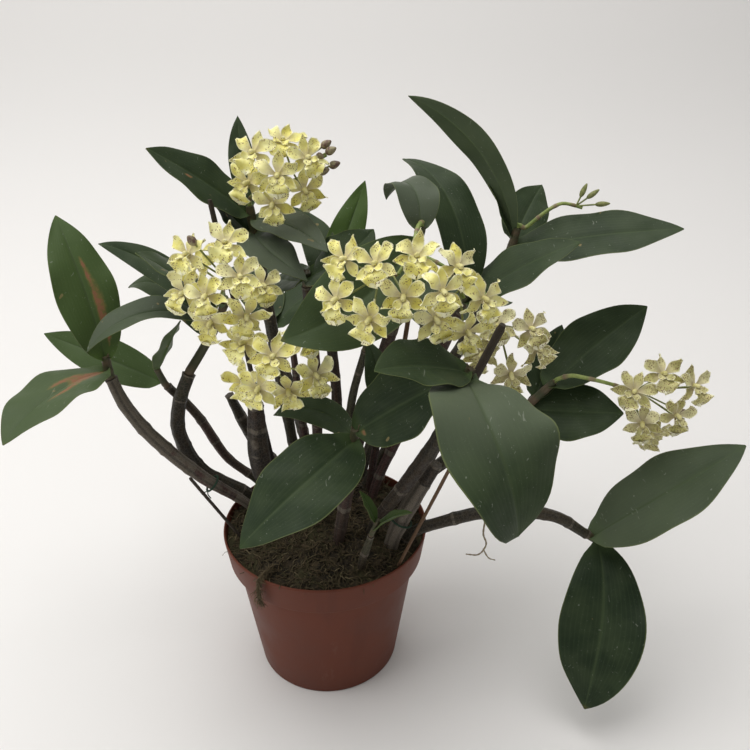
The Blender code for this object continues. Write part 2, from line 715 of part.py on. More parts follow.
def bloom_mesh(place, facing, rng, r):
    """One bloom: three pointed sepals, two broad petals and a lobed lip that juts out."""
    z = facing.normalized()
    y = Vector((0, 0, 1)) - z * z.z
    if y.length < 0.2:
        y = Vector((0, 1, 0)) - z * z.y
    y.normalize()
    x = y.cross(z)
    turn = Matrix.Rotation(math.radians(rng.uniform(-22, 22)), 3, z)
    frame = turn @ Matrix((x, y, z)).transposed()
    lobes = []
    for angle, width, tip, lift in ((30, 0.56, 0.08, 0.14), (90, 0.44, 0.0, -0.05), (150, 0.56, -0.08, 0.14),
                                    (208, 0.44, 0.0, -0.05), (332, 0.44, 0.0, -0.05)):
        bend = rng.uniform(-0.10, 0.10)
        lobes.append((angle, lobe(angle, r, width * r, tip * r, lift * r, (0.4 * lift - 0.1 + bend) * r)))
    lip = [(-0.28, -0.50, 0.38), (0.0, -0.80, 0.18), (0.28, -0.50, 0.38)]
    lobes.append((270, [Vector(point) * r for point in lip]))
    lobes.sort(key=lambda item: item[0])
    verts, faces = star(lobes, PETAL_THICKNESS, 0.24 * r)
    return [place + frame @ v for v in verts], faces


def spread(offsets):
    """Ease crowded blooms apart, mostly in depth, until none is too near the next."""
    places = [Vector(offset) for offset in offsets]
    for _ in range(SPREAD_ROUNDS):
        for i, a in enumerate(places):
            for b in places[i + 1:]:
                apart = b - a
                short = BLOOM_SPACING - apart.length
                if short > 0:
                    push = apart.normalized() * (0.25 * short)
                    push = Vector((push.x * 0.35, push.y, push.z * 0.35))
                    a -= push
                    b += push
    return places


def pedicel_foot(paths, place, facing):
    """The stalk point that a pedicel grows from: the nearest one behind the bloom."""
    best = None
    for path in paths:
        for i in range(1, len(path)):
            point = path[i - 1].lerp(path[i], 0.4)
            behind = (place - point).dot(facing)
            cost = (point - place).length + (0.0 if behind > PEDICEL_STRAIGHT else 60.0 - behind)
            if best is None or cost < best[0]:
                best = (cost, point, behind > PEDICEL_STRAIGHT)
    return best[1], best[2]


def build_spray(name):
    """A spray: a stalk, its pedicels, and the blooms and buds on them."""
    cream = material("petal_cream", (0.78, 0.72, 0.36), 0.6)
    shoot, stalks, centre, blooms, buds = SPRAYS[name]
    carrier = shoot_path(shoot) if shoot in SHOOTS else cane_path(shoot)
    heading = (carrier[-1] - carrier[-2]).normalized()
    root = carrier[-1] + heading * GAP
    paths = [[root] + spline([root + heading * SHOOT_STRAIGHT] + stalks[0], 9.0)]
    for branch in stalks[1:]:
        paths.append(spline(branch, 9.0))
    centre = Vector(centre)
    rng = random.Random(len(name) * 7 + len(blooms))
    pieces = []
    for index, path in enumerate(paths[1:]):
        pieces.append(solid(f"branch_{name}_{index}", *tube(path, lambda s: 1.2 - 0.2 * s, 5), cream))
    for index, offset in enumerate(spread(blooms)):
        place = centre + offset
        facing = offset.normalized() * 0.45 + Vector((0, -0.85, 0.35))
        size = BLOOM_R * rng.uniform(0.94, 1.06)
        pieces.append(solid(f"bloom_{name}_{index}", *bloom_mesh(place, facing, rng, size), cream, 50))
        facing.normalize()
        foot, behind = pedicel_foot(paths, place, facing)
        path = [foot, place - facing * PEDICEL_STRAIGHT, place] if behind else [foot, place]
        pieces.append(solid(f"pedicel_{name}_{index}", *tube(path, lambda s: PEDICEL_R, 3), cream))
    for index, offset in enumerate(buds):
        place = centre + Vector(offset)
        foot, _ = pedicel_foot(paths, place, Vector((0, -1, 0)))
        away = (place - foot).normalized()
        path = [foot, foot.lerp(place, 0.5), place - away * 2.5, place + away * 1.5, place + away * 5.0]
        sizes = (0.9, 0.9, 2.1, 2.4, 0.5)
        shares = share_along(path)
        table = dict(zip(shares, sizes))
        pieces.append(solid(f"bud_{name}_{index}", *tube(path, lambda s: table[s], 5), cream))
    stalk = solid("spray_" + name, *tube(paths[0], lambda s: STALK_R - 0.4 * s, 6), cream)
    return apply_boolean(stalk, pieces, "UNION", "MANIFOLD")


def build_stake(name):
    """A straight stake or a loose stick."""
    foot, top, radius = STAKES[name]
    foot, top = Vector(foot), Vector(top)
    path = [foot.lerp(top, i / 3) for i in range(4)]
    mat = material("stake_dark", (0.035, 0.03, 0.022), 0.8)
    return solid(name, *tube(path, lambda s: radius, 8), mat, 35)


def build_tie(name):
    """A twine ring round a cane."""
    cane, share, wire = TIES[name]
    path = cane_path(cane, 6.0)
    centre = point_along(path, share)
    ahead = point_along(path, share + 0.03)
    axis = (ahead - centre).normalized()
    side = axis.orthogonal().normalized()
    other = axis.cross(side)
    reach = cane_radius(CANES[cane][1])(share) * (1 + CANE_RIB) + GAP + wire
    verts = []
    faces = []
    turns, around = 12, 5
    for i in range(turns):
        a = 2 * math.pi * i / turns
        outward = side * math.cos(a) + other * math.sin(a)
        for k in range(around):
            b = 2 * math.pi * k / around
            verts.append(centre + outward * (reach + 0.5 + wire * math.cos(b)) + axis * (wire * math.sin(b)))
            nxt_i = (i + 1) % turns
            nxt_k = (k + 1) % around
            faces.append((i * around + k, i * around + nxt_k, nxt_i * around + nxt_k, nxt_i * around + k))
    return solid(name, verts, faces, material("twine_green", (0.02, 0.05, 0.03), 0.8), 60)


def build_moss_tuft():
    """A tuft of dry moss that lies on the bark and hangs over the rim."""
    out = polar(MOSS_AZIMUTH)
    path = [out * radius + Vector((0, 0, height)) for radius, height in MOSS_PATH]
    table = dict(zip(share_along(path), MOSS_RADII))
    moss = material("moss_dry", (0.06, 0.042, 0.02), 0.95)
    return solid("moss_tuft", *tube(path, lambda s: table[s], 6, 0.12), moss, 35)


def build_dry_root():
    """A thin curled root with one branch."""
    pale = material("root_pale", (0.32, 0.27, 0.19), 0.8)
    root, branch = [spline(path, 7.0) for path in ROOT_PATHS]
    obj = solid("dry_root", *tube(root, lambda s: ROOT_R, 5), pale)
    twig = solid("root_branch", *tube(branch, lambda s: ROOT_R * 0.8, 5), pale)
    return apply_boolean(obj, [twig], "UNION")


def main():
    """Build every piece."""
    clear_scene()
    build_pot()
    build_substrate()
    for name in CANES:
        build_cane(name)
    for name in SHOOTS:
        build_foliage(name)
    for name in SPRAYS:
        build_spray(name)
    for name in STAKES:
        build_stake(name)
    for name in TIES:
        build_tie(name)
    build_moss_tuft()
    build_dry_root()


if __name__ == "__main__":
    main()
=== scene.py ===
"""The looks of the potted dendrobium orchid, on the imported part's frame.

The pot's axis is the Z axis and the pot stands on z = 0.  Design data is in
millimetres and degrees, the same as the part's own; meshes are in metres.
"""

import json
import math
import random

import bpy
from mathutils import Matrix, Vector, noise

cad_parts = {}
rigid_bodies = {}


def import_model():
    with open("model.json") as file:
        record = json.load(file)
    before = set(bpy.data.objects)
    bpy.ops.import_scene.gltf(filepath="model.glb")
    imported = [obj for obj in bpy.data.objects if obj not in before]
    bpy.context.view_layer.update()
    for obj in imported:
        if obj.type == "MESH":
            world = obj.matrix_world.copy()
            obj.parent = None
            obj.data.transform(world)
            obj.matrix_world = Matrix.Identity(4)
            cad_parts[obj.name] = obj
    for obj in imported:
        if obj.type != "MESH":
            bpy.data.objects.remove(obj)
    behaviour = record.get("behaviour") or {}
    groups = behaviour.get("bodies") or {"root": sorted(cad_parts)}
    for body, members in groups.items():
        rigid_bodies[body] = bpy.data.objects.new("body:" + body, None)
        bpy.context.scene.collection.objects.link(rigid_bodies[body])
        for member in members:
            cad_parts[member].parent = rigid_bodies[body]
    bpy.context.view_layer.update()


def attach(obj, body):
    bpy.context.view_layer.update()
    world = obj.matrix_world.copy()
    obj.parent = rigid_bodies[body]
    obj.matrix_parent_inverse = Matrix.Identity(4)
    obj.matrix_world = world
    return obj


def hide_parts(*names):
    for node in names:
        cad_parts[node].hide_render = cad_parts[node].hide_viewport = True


MM = 0.001
GAP = 0.3

# Pot
POT_HEIGHT = 119.0
POT_BASE_R = 53.2
POT_BODY_R = 66.8
POT_BAND_BOTTOM_R = 71.8
POT_RIM_R = 75.0
POT_BAND_HEIGHT = 22.7
POT_WALL = 1.6
POT_FLOOR = 2.0
POT_CENTRE_R = 6.0
POT_SEGMENTS = 120
POT_CORNER_STEPS = 4

# Potting bark and moss
SOIL_EDGE_Z = 112.5
SOIL_MOUND = 12.0
SOIL_LUMPS = 3.2
SOIL_RINGS = 56
SOIL_SEGMENTS = 150
SOIL_SKIRT = 8.0
CHIPS = 480
CHIP_SIZES = (2.0, 6.0)
CHIP_TILT = 32
# Moss threads: how many lie on the bark, their reach and their thickness
STRANDS = 2600
STRAND_REACH = (5.0, 13.0)
STRAND_RADII = (0.22, 0.6)
STRAND_STEPS = 4

# Canes and shoots
CANE_SIDES = 30
CANE_RIB = 0.09
CANE_RIBS = 5
CANE_STEP = 3.0
SHOOT_SIDES = 14
SHOOT_STRAIGHT = 2.5
SHOOT_STEP = 13.0
INTERNODE = 21.0

# Leaves
LEAF_STATIONS = 31
LEAF_THICKNESS = 0.8
LEAF_SUBSTEPS = 60
LEAF_PEAK = 0.44
LEAF_BASE_WIDTH = 0.17
LEAF_TIP_WIDTH = 0.02
LEAF_WAVE = 0.04
WAVE_CYCLES = 2.5
LEAF_HALF = (0.035, 0.1, 0.24, 0.42, 0.62, 0.82, 0.95, 1.0)
LEAF_COLUMNS = (*(-u for u in reversed(LEAF_HALF)), 0.0, *LEAF_HALF)

# Flowers
BLOOM_R = 12.8
PEDICEL_STRAIGHT = 4.0
# Radius at the foot, and how much thinner at the end
STALK = (1.5, 0.4)
BRANCH = (1.2, 0.2)
STALK_JOINTS = 4
STALK_STEP = 9.0
# Length and radius
BUD = (8.0, 2.3)
SLENDER_BUD = (10.0, 1.5)
BLOOM_FACING = Vector((0, -0.85, 0.35))
BLOOM_SPACING = 23.0
SPREAD_ROUNDS = 40
BLOOM_FLARE = 1.14
TEPAL_ROWS = 12
TEPAL_COLUMNS = 9
TEPAL_SHEET = 0.35
# kind: cup, frill, neck width, where it swells from and to, where its end
# starts, and that end's power and root
TEPALS = {
    "petal": (0.30, 0.15, 0.22, 0.0, 0.6, 0.62, 2.2, 0.5),
    "sepal": (0.22, 0.10, 0.35, 0.0, 0.5, 0.5, 1.7, 1.0),
    "lip": (0.16, 0.20, 0.30, 0.1, 0.65, 0.7, 2.6, 0.5),
}
# A bloom's outer parts: angle, kind and lean, and each kind's width, lift, and
# least and most paleness
BLOOM_PARTS = ((30, "petal", 0.08), (90, "sepal", 0.0), (150, "petal", -0.08), (208, "sepal", 0.0),
               (332, "sepal", 0.0))
BLOOM_KINDS = {"petal": (0.56, 0.14, 0.1, 0.9), "sepal": (0.4928, -0.05, 0.0, 0.5)}
# The column in a bloom's heart, for a bloom of radius 1: place up and forward, radius
COLUMN = ((0.02, 0.0, 0.12), (0.02, 0.16, 0.10), (-0.03, 0.28, 0.11), (-0.07, 0.36, 0.06))

# name: radii (foot, middle, top), colours (papery sheath, green, purple), path
# from the foot in the soil to the top
CANES = {
    "left_outer": ((2.6, 5.0, 4.0), (0.6, 0.15, 0.9), [(-42, 14, 98), (-58, 10, 126), (-90, 3, 157),
        (-118, 0, 190), (-134, 0, 216), (-141, 0, 238)]),
    "left_inner": ((3.0, 3.6, 3.0), (0.1, 0.6, 0.6), [(-40, 42, 98), (-54, 42, 124), (-78, 42, 148),
        (-95, 36, 188), (-112, 28, 217)]),
    "left_arched": ((3.4, 5.2, 4.4), (0.05, 0.2, 0.1), [(-42, 28, 98), (-58, 25, 124), (-92, 20, 150),
        (-104, 16, 182), (-103, 18, 206), (-94, 22, 230)]),
    "old_left": ((3.2, 5.0, 3.2), (0.35, 0.1, 0.1), [(-26, 52, 98), (-36, 54, 124), (-58, 56, 155),
        (-74, 54, 196)]),
    "old_trunk": ((6.0, 8.0, 5.5), (0.45, 0.0, 0.1), [(-20, 12, 98), (-34, 14, 128), (-47, 16, 158),
        (-48, 17, 208)]),
    "front": ((3.4, 4.5, 3.6), (0.25, 0.1, 0.4), [(8, -26, 98), (12, -28, 130), (18, -36, 172),
        (23, -48, 214)]),
    "front_right": ((3.6, 5.0, 4.0), (0.25, 0.2, 0.2), [(28, -14, 98), (38, -20, 135), (57, -34, 176),
        (77, -48, 222), (88, -58, 260)]),
    "front_shoot": ((2.4, 2.8, 2.2), (0.1, 0.7, 0.2), [(26, -46, 98), (28, -51, 124), (34, -56, 150)]),
    "right_long": ((3.6, 4.6, 3.4), (0.2, 0.3, 0.15), [(54, -18, 98), (62, -22, 124), (82, -28, 139),
        (118, -30, 150), (160, -28, 145), (188, -22, 124)]),
    "old_right": ((4.5, 6.0, 4.0), (0.5, 0.0, 0.1), [(44, -28, 98), (51, -27, 130), (64, -26, 160),
        (78, -28, 188)]),
    "right": ((3.4, 5.0, 3.8), (0.3, 0.2, 0.2), [(50, 24, 98), (60, 20, 130), (94, 14, 168), (126, 11, 194),
        (138, 10, 206)]),
    "centre_right": ((3.2, 4.3, 3.6), (0.2, 0.1, 0.7), [(30, 22, 98), (38, 28, 134), (56, 34, 176),
        (76, 31, 226), (94, 23, 278)]),
    "tall_right": ((3.2, 4.3, 3.6), (0.15, 0.4, 0.2), [(20, 40, 98), (34, 46, 130), (60, 52, 176),
        (94, 56, 224), (122, 58, 282), (131, 60, 306)]),
    "tall_centre": ((3.2, 4.5, 3.8), (0.35, 0.1, 0.5), [(12, 18, 98), (20, 22, 150), (36, 24, 220),
        (54, 12, 290), (62, 3, 328)]),
    "centre": ((3.0, 3.9, 3.6), (0.15, 0.1, 0.9), [(-4, 28, 98), (-6, 27, 150), (-5, 25, 226),
        (-8, 21, 296)]),
    "centre_back": ((3.0, 3.8, 3.4), (0.2, 0.4, 0.5), [(4, 50, 98), (8, 48, 140), (8, 42, 210),
        (3, 33, 278)]),
    "tall_left": ((3.2, 4.6, 3.6), (0.2, 0.5, 0.3), [(-18, 44, 98), (-26, 48, 150), (-36, 52, 235),
        (-45, 51, 318)]),
    "slim_left": ((2.4, 3.0, 2.2), (0.1, 0.1, 0.8), [(-12, 36, 98), (-15, 37, 150), (-19, 38, 200),
        (-22, 39, 242)]),
    "slim_middle": ((2.4, 3.0, 2.4), (0.1, 0.5, 0.3), [(10, 34, 98), (15, 32, 150), (20, 21, 208),
        (30, 6, 256)]),
    "slim_right": ((2.4, 3.0, 2.2), (0.05, 0.1, 1.0), [(30, 35, 98), (33, 36, 130), (40, 38, 180),
        (44, 40, 240)]),
    "back_left": ((3.2, 4.6, 3.4), (0.4, 0.2, 0.2), [(-10, 56, 98), (-14, 61, 128), (-30, 82, 185),
        (-44, 98, 224)]),
    "back_right": ((3.2, 4.6, 3.4), (0.3, 0.3, 0.2), [(26, 54, 98), (28, 61, 128), (50, 84, 184),
        (72, 98, 220)]),
}

# Leafy shoots: the points that follow the cane's top, and the shoot's radius.
# A leaf is: how far up the shoot it starts, heading, climb, length, width,
# droop, sweep, roll, twist, fold and, where they differ, where it is widest
# and how blunt its tip is.
SHOOTS = {
    "left_outer": ([(-142, 0, 254)], 3.4, [
        (0.85, 135, 83, 102, 40, 45, -10, 0, 0, 0.12),
        (0.35, -123, 14, 90, 44, 38, 17, 0, 0, 0.1),
    ]),
    "left_inner": ([(-118, 26, 234)], 2.6, [
        (0.2, 160, 15, 99, 30, 1, 4, -45, 0, 0.12),
        (0.85, -16, 66, 46, 26, 10, 0, 0, 0, 0.15),
    ]),
    "left_arched": ([(-84, 27, 246), (-72, 26, 266), (-64, 24, 284)], 3.4, [
        (0.6, -150, 55, 96, 28, 105, 5, -10, 0, 0.2),
        (0.5, 142, 60, 92, 24, 95, 6, -30, 0, 0.15),
        (0.78, 157, 44, 108, 20, 46, -5, -50, 0, 0.15),
        (0.95, -150, 46, 68, 42, 10, -6, -10, 0, 0.12),
    ]),
    "front": ([(24, -50, 228)], 3.2, [
        (0.9, 0, 38, 68, 50, 10, 0, 35, 0, 0.1),
        (0.4, -116, 5, 100, 50, 52, -44, -20, 0, 0.1),
        (0.6, 130, 25, 68, 20, 60, 36, -40, 0, 0.15),
    ]),
    "front_right": ([(92, -61, 276)], 3.6, [
        (0.45, -90, 24, 114, 74, 112, 40, -10, 0, 0.12, 0.56, 0.35),
        (0.85, -152, 26, 66, 40, 20, 8, -20, 0, 0.2),
    ]),
    "front_shoot": ([(39, -60, 166)], 1.8, [
        (0.3, -20, 60, 34, 12, 40, 0, 0, 0, 0.25),
        (0.8, 150, 70, 24, 9, 20, 0, 0, 0, 0.25),
    ]),
    "right_long": ([(200, -20, 114)], 3.0, [
        (0.25, -19, 50, 122, 54, 14, 25, 25, 0, 0.1),
        (0.7, -84, -30, 120, 58, 50, -45, 0, 0, 0.1, 0.5),
    ]),
    "right": ([(150, 10, 219), (160, 10, 230)], 3.2, [
        (0.75, 32, 32, 94, 46, 4, -12, 0, 50, 0.12),
        (0.1, -12, 4, 66, 46, 0, 0, 35, 0, 0.1),
        (0.4, 62, 32, 66, 26, 0, 0, 20, 0, 0.15),
    ]),
    "centre_right": ([(100, 19, 296)], 3.2, [
        (0.3, -11, 44, 84, 38, 21, 0, 26, 0, 0.12),
        (0.8, 111, 84, 122, 36, 89, 15, 0, 0, 0.15),
    ]),
    "tall_right": ([(135, 60, 324)], 3.2, [
        (0.78, 185, 78, 124, 21, 56, 5, 40, 40, 0.14, 0.5),
        (0.55, 150, 67, 60, 18, 10, 0, 0, 0, 0.25),
        (0.3, 70, 20, 76, 34, 0, -10, 30, 0, 0.12),
        (0.15, -26, 20, 112, 42, 16, 20, 30, 0, 0.1),
    ]),
    "tall_centre": ([(65, 0, 343)], 3.6, [
        (0.3, -134, -38, 110, 54, -36, -13, -46, 0, 0.16),
        (0.8, 92, 94, 62, 28, 165, 50, 0, 0, 0.18),
    ]),
    "centre": ([(-8, 18, 307)], 3.4, [
        (0.6, -41, 32, 57, 38, -6, 85, 30, 0, 0.2),
        (0.3, 124, -20, 51, 30, -10, -7, -30, 0, 0.15),
    ]),
    "centre_back": ([(3, 29, 294)], 3.2, [
        (0.8, 72, 30, 91, 25, -18, -8, 30, 0, 0.12),
        (0.3, 20, 35, 54, 28, 10, 0, 0, 0, 0.15),
        (0.5, 86, 50, 78, 24, 28, 60, -20, 0, 0.15),
    ]),
    "tall_left": ([(-47, 50, 342)], 3.4, [
        (0.75, -158, 45, 78, 34, 14, 0, -40, 0, 0.14),
        (0.6, -36, 13, 68, 26, 42, -5, 24, 0, 0.12, 0.4),
        (0.9, 114, 60, 65, 18, 6, -18, 0, 0, 0.25),
        (0.1, -170, 50, 40, 24, 0, 0, -30, 0, 0.2),
        (0.2, -80, 4, 65, 32, 42, 68, 10, 0, 0.1, 0.4),
    ]),
    "slim_middle": ([(33, 0, 270)], 2.2, [
        (0.6, -68, -30, 48, 20, 42, 0, 10, 0, 0.2, 0.6),
    ]),
    "back_left": ([(-47, 102, 240)], 3.0, [
        (0.7, 110, 40, 96, 42, 60, 20, 0, 0, 0.12),
        (0.3, 40, 45, 84, 38, 60, 10, 0, 0, 0.12),
    ]),
    "back_right": ([(75, 102, 234)], 3.0, [
        (0.7, 70, 35, 100, 44, 60, -20, 0, 0, 0.12),
        (0.3, 10, 40, 80, 38, 50, 10, 0, 0, 0.12),
    ]),
}

# Shoots whose end shows small dry scales, and the scales' length
BARE_TIPS = {
    "front": 5.0, "right_long": 6.0, "left_inner": 3.0, "right": 4.0, "left_outer": 4.0, "front_right": 5.0,
    "centre": 3.5, "centre_back": 3.5,
}

# Leaves whose colour or marks stand out: (shoot, leaf number): (pale green, yellow-green). The pale green
# is partly the leaf's own grey bloom and partly painted sheen, as on the big front-right leaf
LEAF_TONES = {
    ("left_outer", 0): (0.38, 0.65), ("left_outer", 1): (0.6, 0.4), ("left_inner", 0): (0.2, 0.55),
    ("left_inner", 1): (0.3, 0.7), ("left_arched", 0): (0.6, 0.05), ("left_arched", 1): (0.3, 0.2),
    ("left_arched", 3): (0.2, 0.2), ("front_right", 0): (1.0, 0.1), ("right_long", 0): (0.7, 0.1),
    ("right_long", 1): (0.0, 0.0), ("centre_back", 0): (0.1, 0.8), ("centre_back", 1): (0.1, 0.75),
    ("tall_centre", 0): (0.3, 0.3), ("tall_centre", 1): (0.8, 0.0), ("tall_left", 1): (0.95, 0.0),
    ("tall_left", 4): (0.85, 0.0), ("tall_right", 0): (0.6, 0.05), ("tall_right", 3): (0.15, 0.05),
    ("centre_right", 0): (0.2, 0.1), ("front", 0): (0.0, 0.05), ("front", 1): (0.0, 0.05),
    ("front_shoot", 0): (0.3, 0.7), ("front_shoot", 1): (0.3, 0.8),
}
# How far the bloom of grey wears off towards the tip, for the leaves where it does; on the big front-right
# leaf the grey kept on its inner half is painted sheen
LEAF_BLOOM_AND_SHEEN_FADES = {("front_right", 0): 0.95, ("right_long", 0): 0.4}
# Brown scars: (shoot, leaf number): [(along, across, half length, half width), ...]
LEAF_SCARS = {
    ("left_outer", 0): [(0.36, -0.3, 0.26, 0.17), (0.2, -0.42, 0.14, 0.2), (0.58, -0.22, 0.12, 0.1)],
    ("left_outer", 1): [(0.18, 0.05, 0.2, 0.36), (0.42, 0.28, 0.2, 0.14), (0.32, -0.25, 0.18, 0.12)],
    ("tall_left", 0): [(0.62, 0.25, 0.05, 0.12)],
    ("tall_centre", 0): [(0.03, 0.0, 0.05, 0.6)],
    ("right_long", 1): [(0.62, 0.5, 0.02, 0.08)],
    ("front", 0): [(0.06, -0.3, 0.03, 0.25)],
}

# Flower sprays: the shoot or cane each sits on, its stalk's paths after that
# (first from the shoot's end, then branches), the cluster's centre, and the
# blooms' and buds' places from that centre
SPRAYS = {
    "upper_left": (
        "tall_left", [[(-44, 44, 350), (-30, 38, 362), (-10, 37, 370), (6, 38, 378)]], (-23, 34, 369),
        [(-13, -5, 9), (2, -1, 14), (14, -4, 8), (0, -16, 1), (11, -6, -10), (-17, -5, -6), (-4, -8, -14)],
        [(28, 4, 15), (31, 0, 12), (25, -2, 9), (33, 2, 3), (26, 2, -1)]),
    "left": (
        "left_arched", [[(-62, 10, 294), (-58, -6, 306), (-54, -16, 318)]], (-55, -22, 312),
        [(-18, -4, -3), (10, -10, 9), (-5, -8, -15), (20, -2, -3), (-15, 2, 20), (-18, 6, 8), (0, 0, 24),
         (-5, -14, 2), (11, -6, -13)],
        [(-14, -6, 30)]),
    "lower_left": (
        "old_trunk", [[(-46, 10, 222), (-38, -8, 244), (-26, -22, 262)]], (-25, -33, 266),
        [(-17, -2, 13), (-8, -8, -9), (17, -2, 12), (23, -4, -4), (-19, 0, -15), (0, -9, 9), (7, -4, -17)],
        []),
    "centre": (
        "tall_centre", [[(62, -14, 346), (58, -32, 338), (50, -44, 328)], [(58, -32, 338), (78, -42, 330),
            (88, -46, 314)], [(50, -44, 328), (34, -46, 326)]], (56, -56, 325),
        [(-20, 0, 14), (-37, 0, -7), (-21, -6, -12), (2, 0, 15), (-4, -9, -4), (26, 0, 8), (16, -6, -16),
         (33, 0, -26), (40, 0, -8), (14, -8, 1), (-34, 4, 10)],
        []),
    "right": (
        "centre_right", [[(102, 10, 303), (106, -4, 300), (112, -10, 289), (117, -6, 277)]],
            (122, -14, 270),
        [(-7, 0, 9), (15, -4, -2), (2, -4, -15), (-13, 2, -8), (10, -6, 12)],
        []),
    "far_right": (
        "right", [[(170, 6, 237), (188, 0, 236), (206, 4, 229), (222, 12, 222)]], (227, -3, 219),
        [(-14, -4, 12), (3, 0, 20), (21, 0, 15), (-8, -6, -8), (11, -8, -3), (0, -2, -21)],
        [(22, 4, -8)]),
    "top_right": (
        "tall_right", [[(140, 60, 324), (152, 60, 334), (164, 60, 341), (178, 60, 338)]], (172, 60, 342),
        [],
        [(5, 0, 6), (17, -2, -1), (11, 1, 4)]),
}
# Sprays of the older kind of bloom, greener and more mottled
MOTTLED = {"right": 0.9, "far_right": 0.85, "top_right": 0.6}

# Straight stakes and loose sticks: foot, top, radius
STAKES = {
    "stake_left": ((-34, 34, 98), (-68, 24, 353), 1.8),
    "stake_right": ((46, 2, 98), (113, -38, 294), 2.8),
    "stake_centre": ((39, 45, 98), (70, 30, 349), 1.8),
    "stick_left": ((-52, -14, 100), (-88, -30, 178), 1.2),
    "stick_front": ((48, -42, 100), (83, -70, 215), 1.2),
}

# Twine ties round a cane: the cane, how far up, wire radius
TIES = {"tie_left": ("left_outer", 0.38, 0.9), "tie_right": ("old_right", 0.45, 0.9)}
TIE_STEPS = 96
TIE_TWISTS = 14

# A tuft of moss that hangs over the rim: its azimuth, its path as (distance from
# the axis, height), its radius at each of those points, and how many threads it
# has, their reach and their thickness
MOSS_AZIMUTH = 238.0
MOSS_PATH = [(61.0, 121.4), (67.5, 121.5), (74.2, 122.0), (77.8, 117.5), (78.2, 109.0), (77.4, 100.0)]
MOSS_RADII = [1.6, 2.4, 2.2, 2.4, 2.8, 1.0]
MOSS_THREADS = 260
MOSS_REACH = (3.0, 8.0)
MOSS_THREAD_RADII = (0.14, 0.3)

# A thin dry root that hangs under the long right cane
ROOT_PATHS = [
    [(113, -31, 143.2), (112, -34, 134), (114, -37, 127), (109, -39, 120), (100, -40, 121)],
    [(112, -38, 124), (116, -39, 117), (121, -38, 114)],
]
ROOT_R = 0.7

# Stage, in metres: the backdrop's front, where its sweep starts, the sweep's
# radius, half its width and its height
BACKDROP = (-2.6, 0.34, 0.95, 3.5, 3.6)
SWEEP_STEPS = 12
# Each lamp's place, target, size, power and colour
LAMPS = {
    "key_lamp": ((-1.2, -0.35, 1.3), (0.0, 0.0, 0.15), 1.2, 9.0, (1.0, 0.985, 0.96)),
    "top_lamp": ((-0.2, 0.2, 2.1), (-0.1, -0.1, 0.0), 1.9, 30.0, (1.0, 0.99, 0.975)),
}
SURROUNDINGS = ((1.0, 0.985, 0.965, 1.0), 0.37)
CAMERA_PLACE = (0.0367, -0.4654, 0.4804)
CAMERA_TILT = 27.26
CAMERA_LENS = 37.44
CAMERA_SENSOR = 36.0
CAMERA_CLIP = (0.02, 30.0)


def spline(points, step):
    """Points along a smooth curve through the given ones, about one step apart."""
    pts = [Vector(p) for p in points]
    pts = [2 * pts[0] - pts[1]] + pts + [2 * pts[-1] - pts[-2]]
    out = []
    for a, b, c, d in zip(pts, pts[1:], pts[2:], pts[3:]):
        pieces = max(1, round((c - b).length / step))
        for k in range(pieces):
            t = k / pieces
            out.append(0.5 * (2 * b + (c - a) * t + (2 * a - 5 * b + 4 * c - d) * t ** 2
                              + (3 * b - a - 3 * c + d) * t ** 3))
    return out + [pts[-2]]


def frames_along(path):
    """Two cross directions at each point, turning no more than needed."""
    side = None
    frames = []
    for before, after in zip(path[:1] + path, path[1:] + path[-1:]):
        tangent = (after - before).normalized()
        if side is None:
            side = tangent.orthogonal().normalized()
        side = (side - tangent * side.dot(tangent)).normalized()
        frames.append((side, tangent.cross(side)))
    return frames


def path_length(path):
    """The length of a path."""
    return sum((b - a).length for a, b in zip(path, path[1:]))


def share_along(path):
    """Each point's share of the way along the path, from 0 to 1."""
    lengths = [0.0]
    for a, b in zip(path, path[1:]):
        lengths.append(lengths[-1] + (b - a).length)
    return [length / lengths[-1] for length in lengths]


def point_along(path, share):
    """The point at a share of the way along a path."""
    shares = share_along(path)
    i = next((i for i in range(1, len(path)) if share <= shares[i]), len(path) - 1)
    return path[i - 1].lerp(path[i], min(1.0, (share - shares[i - 1]) / (shares[i] - shares[i - 1])))


def smooth(a, b, x):
    """An S-shaped step from 0 at a to 1 at b."""
    t = min(max((x - a) / (b - a), 0.0), 1.0)
    return t * t * (3 - 2 * t)


def bell(x, width):
    """A bump of height 1 round x = 0."""
    return math.exp(-(x / width) ** 2)


def polar(angle, radius=1.0, height=0.0):
    """A point at an angle in radians, a distance from the Z axis and a height."""
    return Vector((radius * math.cos(angle), radius * math.sin(angle), height))


def cane_radius(radii):
    """A cane is slim at its foot, widest past its middle and slimmer at the top."""
    foot, middle, top = radii

    def radius_at(share):
        if share < 0.6:
            return foot + (middle - foot) * math.sin(share / 0.6 * math.pi / 2) ** 1.5
        return middle + (top - middle) * ((share - 0.6) / 0.4) ** 1.5

    return radius_at


def cane_path(name, step=CANE_STEP):
    """The smooth path of a cane."""
    return spline(CANES[name][2], step)


def shoot_path(name, step=SHOOT_STEP):
    """The path of the leafy shoot, which starts just above the cane's top."""
    return grown_on(cane_path(name), SHOOTS[name][0], step)


def grown_on(stem, points, step):
    """A path that goes on from a stem's end, straight at first, through those points."""
    heading = (stem[-1] - stem[-2]).normalized()
    start = stem[-1] + heading * GAP
    return [start] + spline([start + heading * SHOOT_STRAIGHT] + points, step)


def leaf_halfwidth(s, leaf):
    """Half a blade's width: rounded at the base, widest at its peak, pointed or blunt."""
    peak = leaf[10] if len(leaf) > 10 else LEAF_PEAK
    blunt = leaf[11] if len(leaf) > 11 else 0.0
    shift = math.log(0.5) / math.log(peak)
    body = max(math.sin(math.pi * s ** shift), 0.0) ** (0.55 + (0.27 - blunt) * s)
    return 0.5 * leaf[4] * max(body, LEAF_BASE_WIDTH * (1 - s) ** 3, LEAF_TIP_WIDTH)


